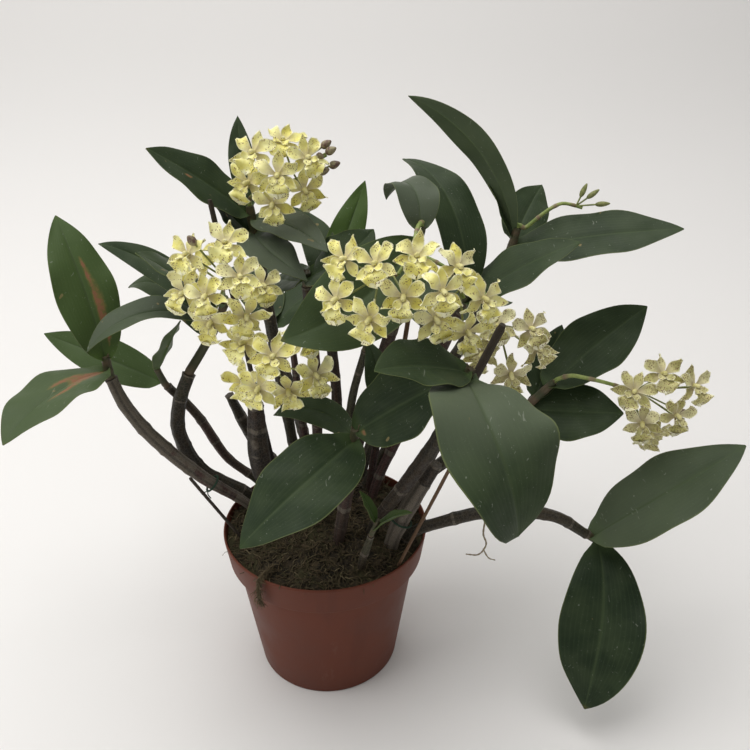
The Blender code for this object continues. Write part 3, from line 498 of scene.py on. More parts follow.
def leaf_frames(start, leaf):
    """Share, point, left and up directions at each station of a leaf's midrib."""
    _, heading, climb, length, _, droop, sweep, roll, twist = leaf[:9]
    point = Vector(start)
    frames = []
    for k in range(LEAF_SUBSTEPS + 1):
        s = k / LEAF_SUBSTEPS
        h = math.radians(heading + sweep * s)
        c = math.radians(climb - droop * s)
        r = math.radians(roll + twist * s)
        tangent = Vector((math.cos(c) * math.cos(h), math.cos(c) * math.sin(h), math.sin(c)))
        left = Vector((-math.sin(h), math.cos(h), 0))
        up = tangent.cross(left)
        left, up = left * math.cos(r) + up * math.sin(r), up * math.cos(r) - left * math.sin(r)
        if k * (LEAF_STATIONS - 1) % LEAF_SUBSTEPS == 0:
            frames.append((s, point.copy(), left, up))
        point = point + tangent * (length / LEAF_SUBSTEPS)
    return frames


def soil_height(x, y):
    """The lumpy top of the potting bark, mounded towards the middle."""
    reach = min(math.hypot(x, y) / POT_RIM_R, 1.0)
    lumps = SOIL_LUMPS * noise.noise(Vector((x / 13.0, y / 13.0, 3.7)))
    return SOIL_EDGE_Z + SOIL_MOUND * (1 - reach ** 2) + lumps * min(1.0, 4 * (1 - reach) + 0.35)


def spread(offsets):
    """Ease crowded blooms apart, mostly in depth, until none is too near the next."""
    places = [Vector(offset) for offset in offsets]
    for _ in range(SPREAD_ROUNDS):
        for i, a in enumerate(places):
            for b in places[i + 1:]:
                apart = b - a
                short = BLOOM_SPACING - apart.length
                if short > 0:
                    push = apart.normalized() * (0.25 * short)
                    push = Vector((push.x * 0.35, push.y, push.z * 0.35))
                    a -= push
                    b += push
    return places


def pedicel_foot(paths, place, facing):
    """The stalk point that a pedicel grows from: the nearest one behind the bloom."""
    best = None
    for path in paths:
        for a, b in zip(path, path[1:]):
            point = a.lerp(b, 0.4)
            behind = (place - point).dot(facing)
            cost = (point - place).length + (0.0 if behind > PEDICEL_STRAIGHT else 60.0 - behind)
            if best is None or cost < best[0]:
                best = (cost, point, behind > PEDICEL_STRAIGHT)
    return best[1:]


def ring_faces(heights, sides):
    """The faces and map places of a skin over closed rings; each ring has its height on the map."""
    faces = []
    maps = []
    for i, (v0, v1) in enumerate(zip(heights, heights[1:])):
        for k in range(sides):
            a, b = i * sides + k, i * sides + (k + 1) % sides
            u0, u1 = k / sides, (k + 1) / sides
            faces.append((a, b, b + sides, a + sides))
            maps.append(((u0, v0), (u1, v0), (u1, v1), (u0, v1)))
    return faces, maps


class Shape:
    """Points, faces, each face's map places and material number, and each point's masks."""

    def __init__(self):
        self.verts, self.faces, self.maps, self.mats, self.masks = [], [], [], [], []

    def add(self, verts, faces, maps, mats, masks):
        """Add a part; mats is one number or a list, and masks one triple or a list of them."""
        first = len(self.verts)
        self.verts.extend(verts)
        self.faces.extend(tuple(first + i for i in face) for face in faces)
        self.maps.extend(maps)
        self.mats.extend(mats if isinstance(mats, list) else [mats] * len(faces))
        self.masks.extend(masks if isinstance(masks, list) else [masks] * len(verts))

    def tube(self, path, radius_at, sides, mat=0, masks=(0.0, 0.0, 0.0), offset_at=None, cap=None):
        """Add a closed tube, whose map is millimetres times 0.01 along. Where cap is given,
        masks is a function of the share along, and cap the triple of the ends' centres."""
        verts = []
        shares = share_along(path)
        for point, (side, up), share in zip(path, frames_along(path), shares):
            for k in range(sides):
                angle = 2 * math.pi * k / sides
                radius = radius_at(share) + (offset_at(share, angle) if offset_at else 0.0)
                verts.append(point + radius * (side * math.cos(angle) + up * math.sin(angle)))
        length = path_length(path)
        faces, maps = ring_faces([share * length * 0.01 for share in shares], sides)
        for first, end, turn in ((0, path[0], -1), (len(verts) - sides, path[-1], 1)):
            verts.append(end.copy())
            for k in range(sides):
                pair = (first + k, first + (k + 1) % sides)[::turn]
                faces.append((*pair, len(verts) - 1))
                maps.append(((0.5, 0.5),) * 3)
        if cap:
            masks = [tone for tone in map(masks, shares) for _ in range(sides)] + [cap] * 2
        self.add(verts, faces, maps, mat, masks)

    def blade(self, upper, lower, columns, masks, mats, across=None):
        """Add a thin closed blade from rows of upper and lower points. mats has the upper
        face's number, which the edge shares, and the lower one's."""
        count = len(upper)
        last = count // columns - 1
        across = across or [2 * k / (columns - 1) - 1 for k in range(columns)]
        inner = [(0.5 + 0.5 * across[i % columns], i // columns / last) for i in range(count)]
        outer = [(float(i % columns >= columns / 2), i // columns / last) for i in range(count)]
        corners = [a for a in range(count - columns) if (a + 1) % columns]
        quads = [(a, a + 1, a + 1 + columns, a + columns) for a in corners]
        faces = quads + [tuple(count + i for i in reversed(quad)) for quad in quads]
        maps = [tuple(inner[i] for i in quad) for quad in quads]
        maps += [places[::-1] for places in maps]
        edge = [*range(columns), *range(2 * columns - 1, count, columns)]
        edge += [*range(count - 2, count - columns - 1, -1), *range(count - 2 * columns, 0, -columns)]
        for a, b in zip(edge, edge[1:] + edge[:1]):
            faces.append((a, a + count, b + count, b))
            maps.append((outer[a], outer[a], outer[b], outer[b]))
        mats = [mats[0]] * len(quads) + [mats[1]] * len(quads) + [mats[0]] * len(edge)
        self.add(upper + lower, faces, maps, mats, masks * 2 if isinstance(masks, list) else masks)

    def piece(self, name, materials, nodes, angle=60.0):
        """Make the object, which stands for those nodes and takes the given finishes."""
        mesh = bpy.data.meshes.new(name)
        mesh.from_pydata([Vector(v) * MM for v in self.verts], [], self.faces)
        for mat in materials:
            mesh.materials.append(mat)
        mesh.polygons.foreach_set("material_index", self.mats)
        layer = mesh.uv_layers.new(name="Map")
        layer.data.foreach_set("uv", [c for face in self.maps for uv in face for c in uv])
        colours = mesh.color_attributes.new("masks", "FLOAT_COLOR", "POINT")
        colours.data.foreach_set("color", [c for m in self.masks for c in (*m, 1.0)])
        mesh.shade_smooth()
        mesh.set_sharp_from_angle(angle=math.radians(angle))
        obj = bpy.data.objects.new(name, mesh)
        bpy.context.scene.collection.objects.link(obj)
        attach(obj, "root")
        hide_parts(*nodes)


# Materials


class Surface:
    """A Principled material whose colour, roughness and bump come from nodes."""

    def __init__(self, name, roughness, level):
        self.mat = bpy.data.materials.new(name)
        self.mat.use_nodes = True
        self.tree = self.mat.node_tree
        self.shader = self.tree.nodes["Principled BSDF"]
        self.put(self.shader.inputs["Roughness"], roughness)
        self.put(self.shader.inputs["Specular IOR Level"], level)
        self.space = self.node("TexCoord", {}, "Object")
        self.map = self.node("UVMap", {}, uv_map="Map")
        self.across, self.along, _ = self.split("SeparateXYZ", self.map)
        masks = self.node("Attribute", {}, "Color", attribute_name="masks")
        self.masks = self.split("SeparateColor", masks)

    def put(self, socket, value):
        """Set a socket to a number or colour, or join it to another socket."""
        if isinstance(value, bpy.types.NodeSocket):
            self.tree.links.new(value, socket)
        else:
            wide = isinstance(value, tuple) and socket.type == "RGBA"
            socket.default_value = (*value, 1.0) if wide else value

    def node(self, kind, inputs, output=0, **settings):
        """Add a node with those settings and inputs, and give one of its outputs."""
        node = self.tree.nodes.new("ShaderNode" + kind)
        for key, value in settings.items():
            setattr(node, key, value)
        for key, value in inputs.items():
            self.put(node.inputs[key], value)
        return node.outputs[output]

    def split(self, kind, value):
        """The three parts of a colour or place."""
        return list(self.node(kind, {0: value}).node.outputs)[:3]

    def noise(self, scale, detail=4.0, rough=0.55, stretch=None, warp=0.0, source=None):
        """A noise value over the object's own space, or over the map."""
        where = source or self.space
        if stretch:
            where = self.node("Mapping", {"Vector": where, "Scale": stretch})
        return self.node("TexNoise", {"Vector": where, "Scale": scale, "Detail": detail,
                                      "Roughness": rough, "Distortion": warp}, "Fac")

    def cells(self, scale, feature="F1"):
        """The distance to the nearest of a field of scattered points, or to its cell's edge."""
        return self.node("TexVoronoi", {"Vector": self.space, "Scale": scale}, "Distance", feature=feature)

    def ramp(self, value, low, high, start=0.0, end=1.0):
        """A value brought from one range to another and held inside it."""
        return self.node("MapRange", {"Value": value, "From Min": low, "From Max": high, "To Min": start,
                                      "To Max": end}, "Result", interpolation_type="SMOOTHSTEP")

    def math(self, operation, a, b=0.0):
        """A sum, difference or other plain operation on two values."""
        return self.node("Math", {0: a, 1: b}, operation=operation)

    def times(self, a, b):
        """The product of two values."""
        return self.math("MULTIPLY", a, b)

    def plus(self, a, b):
        """The sum of two values."""
        return self.math("ADD", a, b)

    def mix(self, share, a, b):
        """A colour between two others."""
        return self.node("Mix", {"Factor": share, 6: a, 7: b}, 2, data_type="RGBA")

    def over(self, base, share, strength, colour):
        """A colour laid over another, by a share of that strength."""
        return self.mix(self.times(share, strength), base, colour)

    def span(self, value, low, high, a, b):
        """A colour that goes from one to another while the value goes from low to high."""
        return self.mix(self.ramp(value, low, high), a, b)

    def finish(self, colour, height=None, strength=0.3, depth=0.0004, roughness=None):
        """Join the colour, the bump and the roughness to the shader."""
        self.put(self.shader.inputs["Base Color"], colour)
        if roughness is not None:
            self.put(self.shader.inputs["Roughness"], roughness)
        if height is not None:
            bump = self.node("Bump", {"Strength": strength, "Distance": depth, "Height": height})
            self.put(self.shader.inputs["Normal"], bump)
        return self.mat


def leaf_material(name, under):
    """A waxy leaf: dark green, dusty, with a midrib, faint veins, a pale margin and scars."""
    s = Surface(name, 0.5, 0.12)
    off = s.times(s.math("ABSOLUTE", s.math("SUBTRACT", s.across, 0.5)), 2.0)
    # Random mottling of the dark green; its lighter patches are painted sheen
    blotch = s.noise(38.0, 3.0)
    if under:
        green = s.span(blotch, 0.35, 0.7, (0.036, 0.064, 0.022), (0.062, 0.095, 0.036))
    else:
        green = s.span(blotch, 0.35, 0.7, (0.016, 0.028, 0.013), (0.031, 0.047, 0.022))
    # Pale grey-green by the first mask: partly the leaf's own grey bloom, partly painted sheen, as on the
    # front-right leaf's inner half
    green = s.over(green, s.masks[0], 0.8, (0.115, 0.138, 0.094))
    green = s.over(green, s.masks[2], 0.8, (0.070, 0.125, 0.022))
    vein = s.node("TexWave", {"Vector": s.map, "Scale": 5.5, "Distortion": 0.6, "Detail": 1.0,
                              "Detail Scale": 1.5}, "Fac", wave_type="BANDS", bands_direction="X")
    green = s.over(green, s.ramp(vein, 0.75, 1.0), 0.07, (0.10, 0.14, 0.07))
    rib = (0.12, 0.17, 0.07) if under else (0.060, 0.085, 0.038)
    green = s.over(green, s.ramp(off, 0.05, 0.012), 0.5, rib)
    glow = s.times(s.ramp(off, 0.10, 0.05), s.ramp(off, 0.012, 0.05))
    green = s.over(green, glow, 0.10, (0.08, 0.12, 0.055))
    green = s.over(green, s.ramp(off, 0.965, 0.995), 0.6, (0.15, 0.18, 0.065))
    dust = s.ramp(s.noise(1500.0, 2.0, 0.6), 0.70, 0.76)
    scratch = s.ramp(s.noise(420.0, 1.0, 0.5, (1.0, 0.16, 1.0), 1.4), 0.73, 0.76)
    green = s.over(green, s.math("MAXIMUM", dust, s.times(scratch, 0.8)), 0.30, (0.42, 0.45, 0.38))
    green = s.over(green, s.ramp(s.noise(120.0, 1.0), 0.765, 0.785), 0.6, (0.26, 0.20, 0.09))
    scar = s.ramp(s.times(s.masks[1], s.noise(330.0, 6.0, 0.75)), 0.30, 0.50)
    halo = s.ramp(s.times(s.masks[1], s.noise(150.0, 4.0, 0.7)), 0.14, 0.44)
    green = s.over(green, halo, 0.6, (0.20, 0.15, 0.05))
    colour = s.over(green, scar, 0.85, (0.24, 0.105, 0.060))
    height = s.plus(s.times(vein, 0.16), s.times(s.noise(180.0, 5.0), 0.6))
    height = s.math("SUBTRACT", height, s.times(scar, 0.5))
    return s.finish(colour, height, 0.3, 0.0005, s.ramp(s.noise(90.0), 0.3, 0.75, 0.40, 0.56))


def cane_material():
    """Old canes: dark ribbed skin under torn grey-brown sheaths, purple or green where young."""
    s = Surface("cane_skin", 0.6, 0.4)
    grain = s.noise(30.0, 5.0, 0.7, (10.0, 1.4, 1.0), 0.3, s.map)
    blotch = s.noise(170.0, 4.0, 0.65)
    dark = s.span(blotch, 0.35, 0.65, (0.009, 0.008, 0.006), (0.036, 0.026, 0.016))
    green = s.span(grain, 0.3, 0.7, (0.022, 0.032, 0.011), (0.060, 0.072, 0.028))
    purple = s.span(grain, 0.3, 0.7, (0.040, 0.015, 0.016), (0.110, 0.046, 0.040))
    papery = s.span(grain, 0.35, 0.62, (0.042, 0.033, 0.024), (0.19, 0.162, 0.125))
    colour = s.over(s.mix(s.masks[1], dark, green), s.masks[2], 0.85, purple)
    torn = s.ramp(s.times(s.masks[0], s.plus(s.noise(75.0, 5.0, 0.7), 0.42)), 0.42, 0.52)
    colour = s.mix(torn, colour, papery)
    # Painted shade: the grooves between the ribs are darkened
    groove = s.math("COSINE", s.times(s.across, 2 * math.pi * CANE_RIBS))
    colour = s.over(colour, s.ramp(groove, -0.2, -0.9), 0.5, (0.010, 0.008, 0.006))
    net = s.ramp(s.cells(430.0, "DISTANCE_TO_EDGE"), 0.10, 0.03)
    colour = s.over(colour, net, 0.30, (0.135, 0.115, 0.085))
    height = s.plus(s.times(grain, 0.8), s.times(torn, 0.5))
    return s.finish(colour, height, 0.55, 0.0008, s.ramp(blotch, 0.3, 0.7, 0.5, 0.8))


def shoot_material():
    """The green upper stem among the leaves, with dry brown collars."""
    s = Surface("shoot_skin", 0.5, 0.45)
    grain = s.noise(24.0, 4.0, 0.6, (8.0, 1.2, 1.0), 0.2, s.map)
    green = s.span(grain, 0.3, 0.7, (0.024, 0.040, 0.013), (0.062, 0.085, 0.032))
    colour = s.mix(s.masks[0], green, s.mix(grain, (0.060, 0.040, 0.022), (0.20, 0.145, 0.085)))
    colour = s.over(colour, s.masks[2], 0.7, (0.085, 0.035, 0.030))
    return s.finish(colour, grain, 0.4, 0.0005, s.ramp(grain, 0.2, 0.8, 0.42, 0.7))


def petal_material():
    """Cream-yellow petals with purple-brown specks, duller towards the mauve heart, where the darkening is
    partly painted shade.
    """
    s = Surface("petal_skin", 0.62, 0.3)
    blotch = s.noise(130.0, 3.0)
    yellow = s.span(blotch, 0.35, 0.68, (0.80, 0.73, 0.16), (0.97, 0.94, 0.40))
    greenish = s.span(blotch, 0.35, 0.68, (0.34, 0.33, 0.10), (0.60, 0.55, 0.25))
    colour = s.over(s.mix(s.masks[0], yellow, greenish), s.masks[2], 0.6, (0.92, 0.89, 0.60))
    off = s.math("ABSOLUTE", s.math("SUBTRACT", s.across, 0.5))
    rim = s.math("MAXIMUM", s.ramp(off, 0.38, 0.5), s.ramp(s.along, 0.86, 1.0))
    colour = s.over(colour, rim, 0.75, (0.98, 0.97, 0.76))
    # The heart's own duller tone, darkened further towards the heart as painted shade
    heart_tone_and_shade = s.ramp(s.noise(700.0, 3.0, 0.7), 0.3, 0.7, 0.6, 1.0)
    colour = s.over(colour, s.masks[1], heart_tone_and_shade, (0.52, 0.44, 0.31))
    dots = s.ramp(s.cells(840.0), 0.40, 0.28)
    some = s.ramp(s.plus(s.noise(230.0, 2.0), s.times(s.masks[0], 0.16)), 0.44, 0.56)
    specks = s.times(s.times(dots, some), s.ramp(s.along, 0.30, 0.60))
    colour = s.over(colour, specks, 0.85, (0.17, 0.070, 0.050))
    return s.finish(colour, s.noise(420.0, 3.0, 0.6), 0.35, 0.0005, s.ramp(blotch, 0.3, 0.7, 0.5, 0.7))


def stalk_material():
    """The flower stalk: yellow-green with wine-red joints."""
    s = Surface("stalk_skin", 0.5, 0.4)
    grain = s.noise(300.0, 3.0)
    green = s.span(grain, 0.3, 0.7, (0.16, 0.23, 0.05), (0.30, 0.36, 0.11))
    colour = s.mix(s.masks[2], green, s.mix(grain, (0.16, 0.06, 0.06), (0.26, 0.17, 0.13)))
    return s.finish(colour, grain, 0.3, 0.0003, s.ramp(grain, 0.3, 0.7, 0.42, 0.62))


def bud_material():
    """A closed bud: grey-green flushed with dull purple, or plain fresh green."""
    s = Surface("bud_skin", 0.55, 0.35)
    patch = s.noise(420.0, 4.0, 0.6)
    fresh = s.span(patch, 0.35, 0.65, (0.15, 0.19, 0.05), (0.27, 0.30, 0.10))
    dull = s.span(patch, 0.38, 0.60, (0.13, 0.075, 0.062), (0.33, 0.30, 0.17))
    colour = s.over(s.mix(s.masks[0], fresh, dull), s.masks[2], 0.3, (0.16, 0.075, 0.065))
    return s.finish(colour, patch, 0.3, 0.0003)


def plastic_material():
    """Terracotta-coloured pot plastic, slightly scuffed and dusty."""
    s = Surface("pot_plastic", 0.55, 0.16)
    cloud = s.noise(22.0, 5.0, 0.6)
    fine = s.noise(900.0, 3.0, 0.6)
    colour = s.span(cloud, 0.3, 0.7, (0.112, 0.032, 0.0175), (0.134, 0.040, 0.023))
    scuff = s.ramp(s.noise(60.0, 6.0, 0.75, (1.0, 1.0, 0.35)), 0.60, 0.74)
    colour = s.over(colour, scuff, 0.22, (0.24, 0.13, 0.095))
    colour = s.over(colour, s.ramp(fine, 0.70, 0.76), 0.20, (0.40, 0.31, 0.25))
    drips = s.ramp(s.noise(16.0, 3.0, 0.6, (3.0, 3.0, 0.25)), 0.58, 0.70)
    colour = s.over(colour, drips, 0.20, (0.070, 0.024, 0.016))
    height = s.plus(s.times(fine, 0.6), s.times(cloud, 0.3))
    return s.finish(colour, height, 0.12, 0.0004, s.ramp(cloud, 0.3, 0.7, 0.44, 0.60))


def bark_material():
    """Damp bark fines and old moss."""
    s = Surface("bark_skin", 0.9, 0.25)
    coarse = s.noise(120.0, 6.0, 0.7)
    fine = s.noise(800.0, 5.0, 0.7)
    colour = s.span(coarse, 0.35, 0.62, (0.008, 0.007, 0.005), (0.040, 0.030, 0.018))
    colour = s.over(colour, s.ramp(fine, 0.52, 0.68), 0.6, (0.14, 0.105, 0.055))
    for mask, strength, dark, light in ((1, 0.75, (0.026, 0.026, 0.010), (0.105, 0.095, 0.045)),
                                        (0, 0.8, (0.050, 0.036, 0.020), (0.155, 0.112, 0.062)),
                                        (2, 0.8, (0.12, 0.095, 0.050), (0.26, 0.215, 0.13))):
        colour = s.over(colour, s.masks[mask], strength, s.mix(fine, dark, light))
    height = s.plus(coarse, s.times(fine, 0.6))
    return s.finish(colour, height, 0.8, 0.0016, s.ramp(fine, 0.3, 0.7, 0.8, 1.0))


def wood_material(name, dark, light):
    """Weathered wood of a stake or stick, with grain along it."""
    s = Surface(name, 0.75, 0.3)
    grain = s.noise(26.0, 6.0, 0.7, (9.0, 1.0, 1.0), 0.5, s.map)
    colour = s.span(grain, 0.32, 0.66, dark, light)
    return s.finish(colour, grain, 0.6, 0.0006, s.ramp(grain, 0.3, 0.7, 0.6, 0.9))


def floor_material():
    """A matt pale backdrop, with painted shade that makes it a little darker up the wall."""
    s = Surface("backdrop_matt", 0.9, 0.2)
    tone = s.plus(s.split("SeparateXYZ", s.space)[2], s.times(s.noise(1.2, 2.0), 0.1))
    return s.finish(s.span(tone, 0.05, 0.45, (0.83, 0.82, 0.81), (0.70, 0.69, 0.68)))


# Pieces


def make_pot():
    """The nursery pot, turned from a profile, with rounded edges and a stepped band."""
    band = POT_HEIGHT - POT_BAND_HEIGHT
    slope = (POT_BODY_R - POT_BASE_R) / band
    # Each corner's place, and how far it is rounded
    corners = [
        ((POT_CENTRE_R, 0.0), 0.0), ((POT_BASE_R, 0.0), 1.4), ((POT_BODY_R, band), 0.9),
        ((POT_BAND_BOTTOM_R, band + 0.6), 0.7), ((POT_RIM_R - 0.2, POT_HEIGHT - 1.4), 0.5),
        ((POT_RIM_R - 0.4, POT_HEIGHT), 0.5), ((POT_RIM_R - POT_WALL, POT_HEIGHT), 0.5),
        ((POT_BAND_BOTTOM_R - POT_WALL, band + 2.5), 0.5), ((POT_BODY_R - POT_WALL, band + 1.5), 0.5),
        ((POT_BASE_R - POT_WALL + slope * POT_FLOOR, POT_FLOOR), 0.8), ((POT_CENTRE_R, POT_FLOOR), 0.0),
    ]
    profile = [corners[0][0]]
    for (before, _), (here, rounding), (after, _) in zip(corners, corners[1:], corners[2:]):
        corner = Vector(here)
        a = corner + (Vector(before) - corner).normalized() * rounding
        b = corner + (Vector(after) - corner).normalized() * rounding
        for i in range(POT_CORNER_STEPS + 1):
            t = i / POT_CORNER_STEPS
            profile.append(a * (1 - t) ** 2 + corner * 2 * t * (1 - t) + b * t ** 2)
    profile += [corners[-1][0], corners[0][0]]
    turns = [2 * math.pi * k / POT_SEGMENTS for k in range(POT_SEGMENTS)]
    verts = [polar(turn, *place) for place in profile for turn in turns]
    shape = Shape()
    shape.add(verts, *ring_faces(range(len(profile)), POT_SEGMENTS), 0, (0.0, 0.0, 0.0))
    shape.piece("nursery_pot", [plastic_material()], ["pot"], 35.0)


def chip(rng, size):
    """An irregular flat splinter of bark, centred on the origin."""
    long, wide, thick = size, size * rng.uniform(0.35, 0.7), size * rng.uniform(0.12, 0.3)
    verts = []
    for z in (-0.5, 0.5):
        for x, y in ((-0.5, -0.4), (0.1, -0.5), (0.5, -0.15), (0.4, 0.4), (-0.2, 0.5), (-0.5, 0.2)):
            jitter = Vector((rng.uniform(-0.1, 0.1), rng.uniform(-0.1, 0.1), rng.uniform(-0.15, 0.15)))
            verts.append(Vector(((x + jitter.x) * long, (y + jitter.y) * wide, (z + jitter.z) * thick)))
    faces = [tuple(reversed(range(6))), tuple(range(6, 12))]
    faces += [(k, (k + 1) % 6, 6 + (k + 1) % 6, 6 + k) for k in range(6)]
    maps = [tuple((v * 0.1, v * 0.07) for v in range(len(face))) for face in faces]
    return verts, faces, maps


def strand(shape, rng, start, reaches, lifts, turn, radii, masks_at):
    """Add a curled, sinking thread of moss; masks_at gives its masks for a tone drawn at random."""
    step = rng.uniform(*reaches) / STRAND_STEPS
    climb = rng.uniform(*lifts)
    heading = rng.uniform(0, 2 * math.pi)
    path = [start]
    for _ in range(STRAND_STEPS):
        path.append(path[-1] + polar(heading, math.cos(climb), math.sin(climb)) * step)
        heading += rng.uniform(-turn, turn)
        climb -= rng.uniform(0.1, 0.7)
    thin = rng.uniform(*radii)
    shape.tube(path, lambda s: thin * (1 - 0.5 * s), 4, 0, masks_at(rng.random()))


def on_bark(rng, limit, rise):
    """A place drawn at random just above the bark, inside a distance from the axis."""
    radius = limit * math.sqrt(rng.random())
    place = polar(rng.uniform(0, 2 * math.pi), radius)
    place.z = soil_height(place.x, place.y) + rise
    return place


def make_substrate(skin):
    """The potting bark: a lumpy bed, with splinters and threads of moss over it."""
    rng = random.Random(41)
    share = (SOIL_EDGE_Z - POT_HEIGHT + POT_BAND_HEIGHT) / POT_BAND_HEIGHT
    edge = POT_BAND_BOTTOM_R + (POT_RIM_R - POT_BAND_BOTTOM_R) * share - POT_WALL - GAP
    turns = [2 * math.pi * k / SOIL_SEGMENTS for k in range(SOIL_SEGMENTS)]
    verts = []
    masks = []
    for ring in range(SOIL_RINGS + 1):
        for turn in turns:
            point = polar(turn, edge * (ring / SOIL_RINGS) ** 0.85)
            fine = 2.4 * noise.noise(point / 5.2 + Vector((0, 0, 9.1)))
            fine += 1.3 * noise.noise(point / 2.0 + Vector((0, 0, 2.3)))
            mossy = smooth(-0.1, 0.35, noise.noise(point / 16.0 + Vector((0, 0, 5.5))))
            point.z = soil_height(point.x, point.y) + fine
            verts.append(point)
            masks.append((0.0, mossy, 0.0))
    below = range(len(verts), len(verts) + SOIL_SEGMENTS)
    verts += [polar(turn, edge, SOIL_EDGE_Z - SOIL_SKIRT) for turn in turns]
    masks += [(0.0, 0.0, 0.0)] * SOIL_SEGMENTS
    faces, _ = ring_faces(range(SOIL_RINGS + 2), SOIL_SEGMENTS)
    faces = [(face[0], *face[:0:-1]) for face in faces]
    maps = [((0.0, 0.0), (0.0, 1.0), (1.0, 1.0), (1.0, 0.0))] * len(faces)
    shape = Shape()
    shape.add(verts, faces + [tuple(below)], maps + [((0.5, 0.5),) * SOIL_SEGMENTS], 0, masks)
    for _ in range(CHIPS):
        size = rng.uniform(*CHIP_SIZES)
        place = on_bark(rng, edge - 0.55 * size, 0.5)
        verts, faces, maps = chip(rng, size)
        spin = Matrix.Rotation(rng.uniform(0, 2 * math.pi), 3, "Z")
        tilt = Matrix.Rotation(math.radians(rng.uniform(-CHIP_TILT, CHIP_TILT)), 3, "X")
        tone = rng.uniform(0.0, 0.7)
        shape.add([place + spin @ tilt @ v for v in verts], faces, maps, 0, (tone, 0.0, 0.0))
    for _ in range(STRANDS):
        strand(shape, rng, on_bark(rng, edge - 3.0, 0.3), STRAND_REACH, (0.0, 0.9), 0.8, STRAND_RADII,
               lambda tone: (0.9 * tone, 1.0 - tone, smooth(0.78, 1.0, rng.random())))
    shape.piece("bark_bed", [skin], ["substrate"])


def dry_bract(shape, rng, place, axis, reach, count):
    """Small dry scales that clasp a stem end."""
    side = axis.orthogonal().normalized()
    for n in range(count):
        turn = 2 * math.pi * (n + rng.uniform(-0.2, 0.2)) / count
        out = (side * math.cos(turn) + axis.cross(side) * math.sin(turn)).normalized()
        length = reach * rng.uniform(0.7, 1.15)
        middle = []
        for t in (0.0, 0.2, 0.4, 0.6, 0.8, 1.0):
            wide = 0.42 * reach * (1 - t ** 1.6) + 0.15
            lean = out * (0.25 * reach + 0.42 * length * t ** 1.8) + axis * (length * t - 0.35 * reach)
            for u in (-1.0, -0.5, 0.0, 0.5, 1.0):
                middle.append(place + lean + axis.cross(out) * (u * wide) - out * (0.3 * wide * u * u))
        upper = [point + out * 0.15 for point in middle]
        lower = [point - out * 0.15 for point in middle]
        shape.blade(upper, lower, 5, (0.9, 0.0, 0.0), (0, 0))


def make_cane(name, skin):
    """A ribbed cane with swollen joints, sheath rings and, if it is bare, a dry tip."""
    rng = random.Random("cane" + name)
    path = cane_path(name)
    radii, (papery, green, purple), _ = CANES[name]
    base = cane_radius(radii)
    length = path_length(path)
    joints = max(2, round(length / INTERNODE))
    tones = [(papery * rng.uniform(0.5, 1.5), green * rng.uniform(0.5, 1.4), purple * rng.uniform(0.3, 1.5))
             for _ in range(joints + 1)]
    twist = rng.uniform(-1.2, 1.2)

    def from_joint(share):
        return abs(share * joints - round(share * joints)) * INTERNODE

    def skin_offset(share, angle):
        ring = 0.07 * bell(from_joint(share), 1.3)
        lip = 0.05 * bell(share * joints % 1.0 * INTERNODE, 3.0)
        ribs = 0.75 * CANE_RIB * math.cos(CANE_RIBS * angle + twist * share)
        fine = 0.035 * math.cos(3 * CANE_RIBS * angle + 1.3)
        around = polar(angle, 1.5)
        rough = 0.05 * noise.noise(Vector((share * length / 5.0, around.x, around.y)))
        return base(share) * (ring + lip + ribs + fine + rough - 0.03)

    def tone_at(share):
        tone = tones[int(share * joints)]
        return min(1.0, tone[0] + 0.8 * bell(from_joint(share), 0.9)), tone[1], min(1.0, tone[2])

    shape = Shape()
    shape.tube(path, base, CANE_SIDES, 0, tone_at, skin_offset, (0.6, 0.0, 0.2))
    if name.startswith("old"):
        axis = (path[-1] - path[-2]).normalized()
        dry_bract(shape, rng, path[-1] - axis * 1.5, axis, 0.9 * radii[2], 5)
    shape.piece("skin_" + name, [skin], ["cane_" + name])


def fine_leaf(shape, start, leaf, phase, key):
    """A folded waxy blade with a grooved midrib and a waved margin."""
    width, fold = leaf[4], leaf[9]
    scars = LEAF_SCARS.get(key, [])
    pale, yellow = LEAF_TONES.get(key, (0.08, 0.1))
    bloom_and_sheen_fade = LEAF_BLOOM_AND_SHEEN_FADES.get(key, 0.0)
    upper, lower, masks = [], [], []
    for s, point, left, up in leaf_frames(start, leaf):
        half = leaf_halfwidth(s, leaf)
        clasp = max(0.0, 1 - s / 0.07) ** 2
        wave = LEAF_WAVE * width * math.sin(math.pi * s)
        arch = 0.0175 * width * math.sin(math.pi * min(1.0, s * 1.1))
        groove = 0.5 * math.sin(math.pi * min(1.0, s + 0.05))
        tip = smooth(0.93, 1.0, s)
        base = smooth(0.12, 0.0, s)
        # grey: the pale grey tone, which on the front-right leaf is painted sheen on its inner half
        grey = pale * (1 - bloom_and_sheen_fade * smooth(0.3, 0.8, s)) + 0.2 * base
        for u in LEAF_COLUMNS:
            ripple = wave * math.sin(2 * math.pi * WAVE_CYCLES * s + phase + 2.0 * u)
            lift = abs(u) ** 1.25 * fold * half + u * u * ripple + clasp * 0.9 * half * abs(u)
            lift += arch * math.sin(math.pi * abs(u)) - groove * bell(u, 0.05)
            lift += 0.35 * noise.noise(Vector((s * 9.0 + phase, u * 2.2, 3.1 * phase))) * min(1.0, 6 * s)
            middle = point + left * (u * half * (1 - 0.25 * clasp)) + up * lift
            thick = 0.5 * LEAF_THICKNESS * (1 - 0.55 * abs(u) ** 3)
            upper.append(middle + up * thick)
            lower.append(middle - up * thick)
            worn = (0.55 if scars else 0.22) * tip
            for along, across, long, wide in scars:
                off = math.hypot((s - along) / long, (u - across) / wide)
                worn = max(worn, 1.0 - smooth(0.4, 1.3, off))
            masks.append((min(1.0, grey), worn, min(1.0, yellow + 0.35 * base + 0.2 * tip)))
    shape.blade(upper, lower, len(LEAF_COLUMNS), masks, (1, 2), LEAF_COLUMNS)


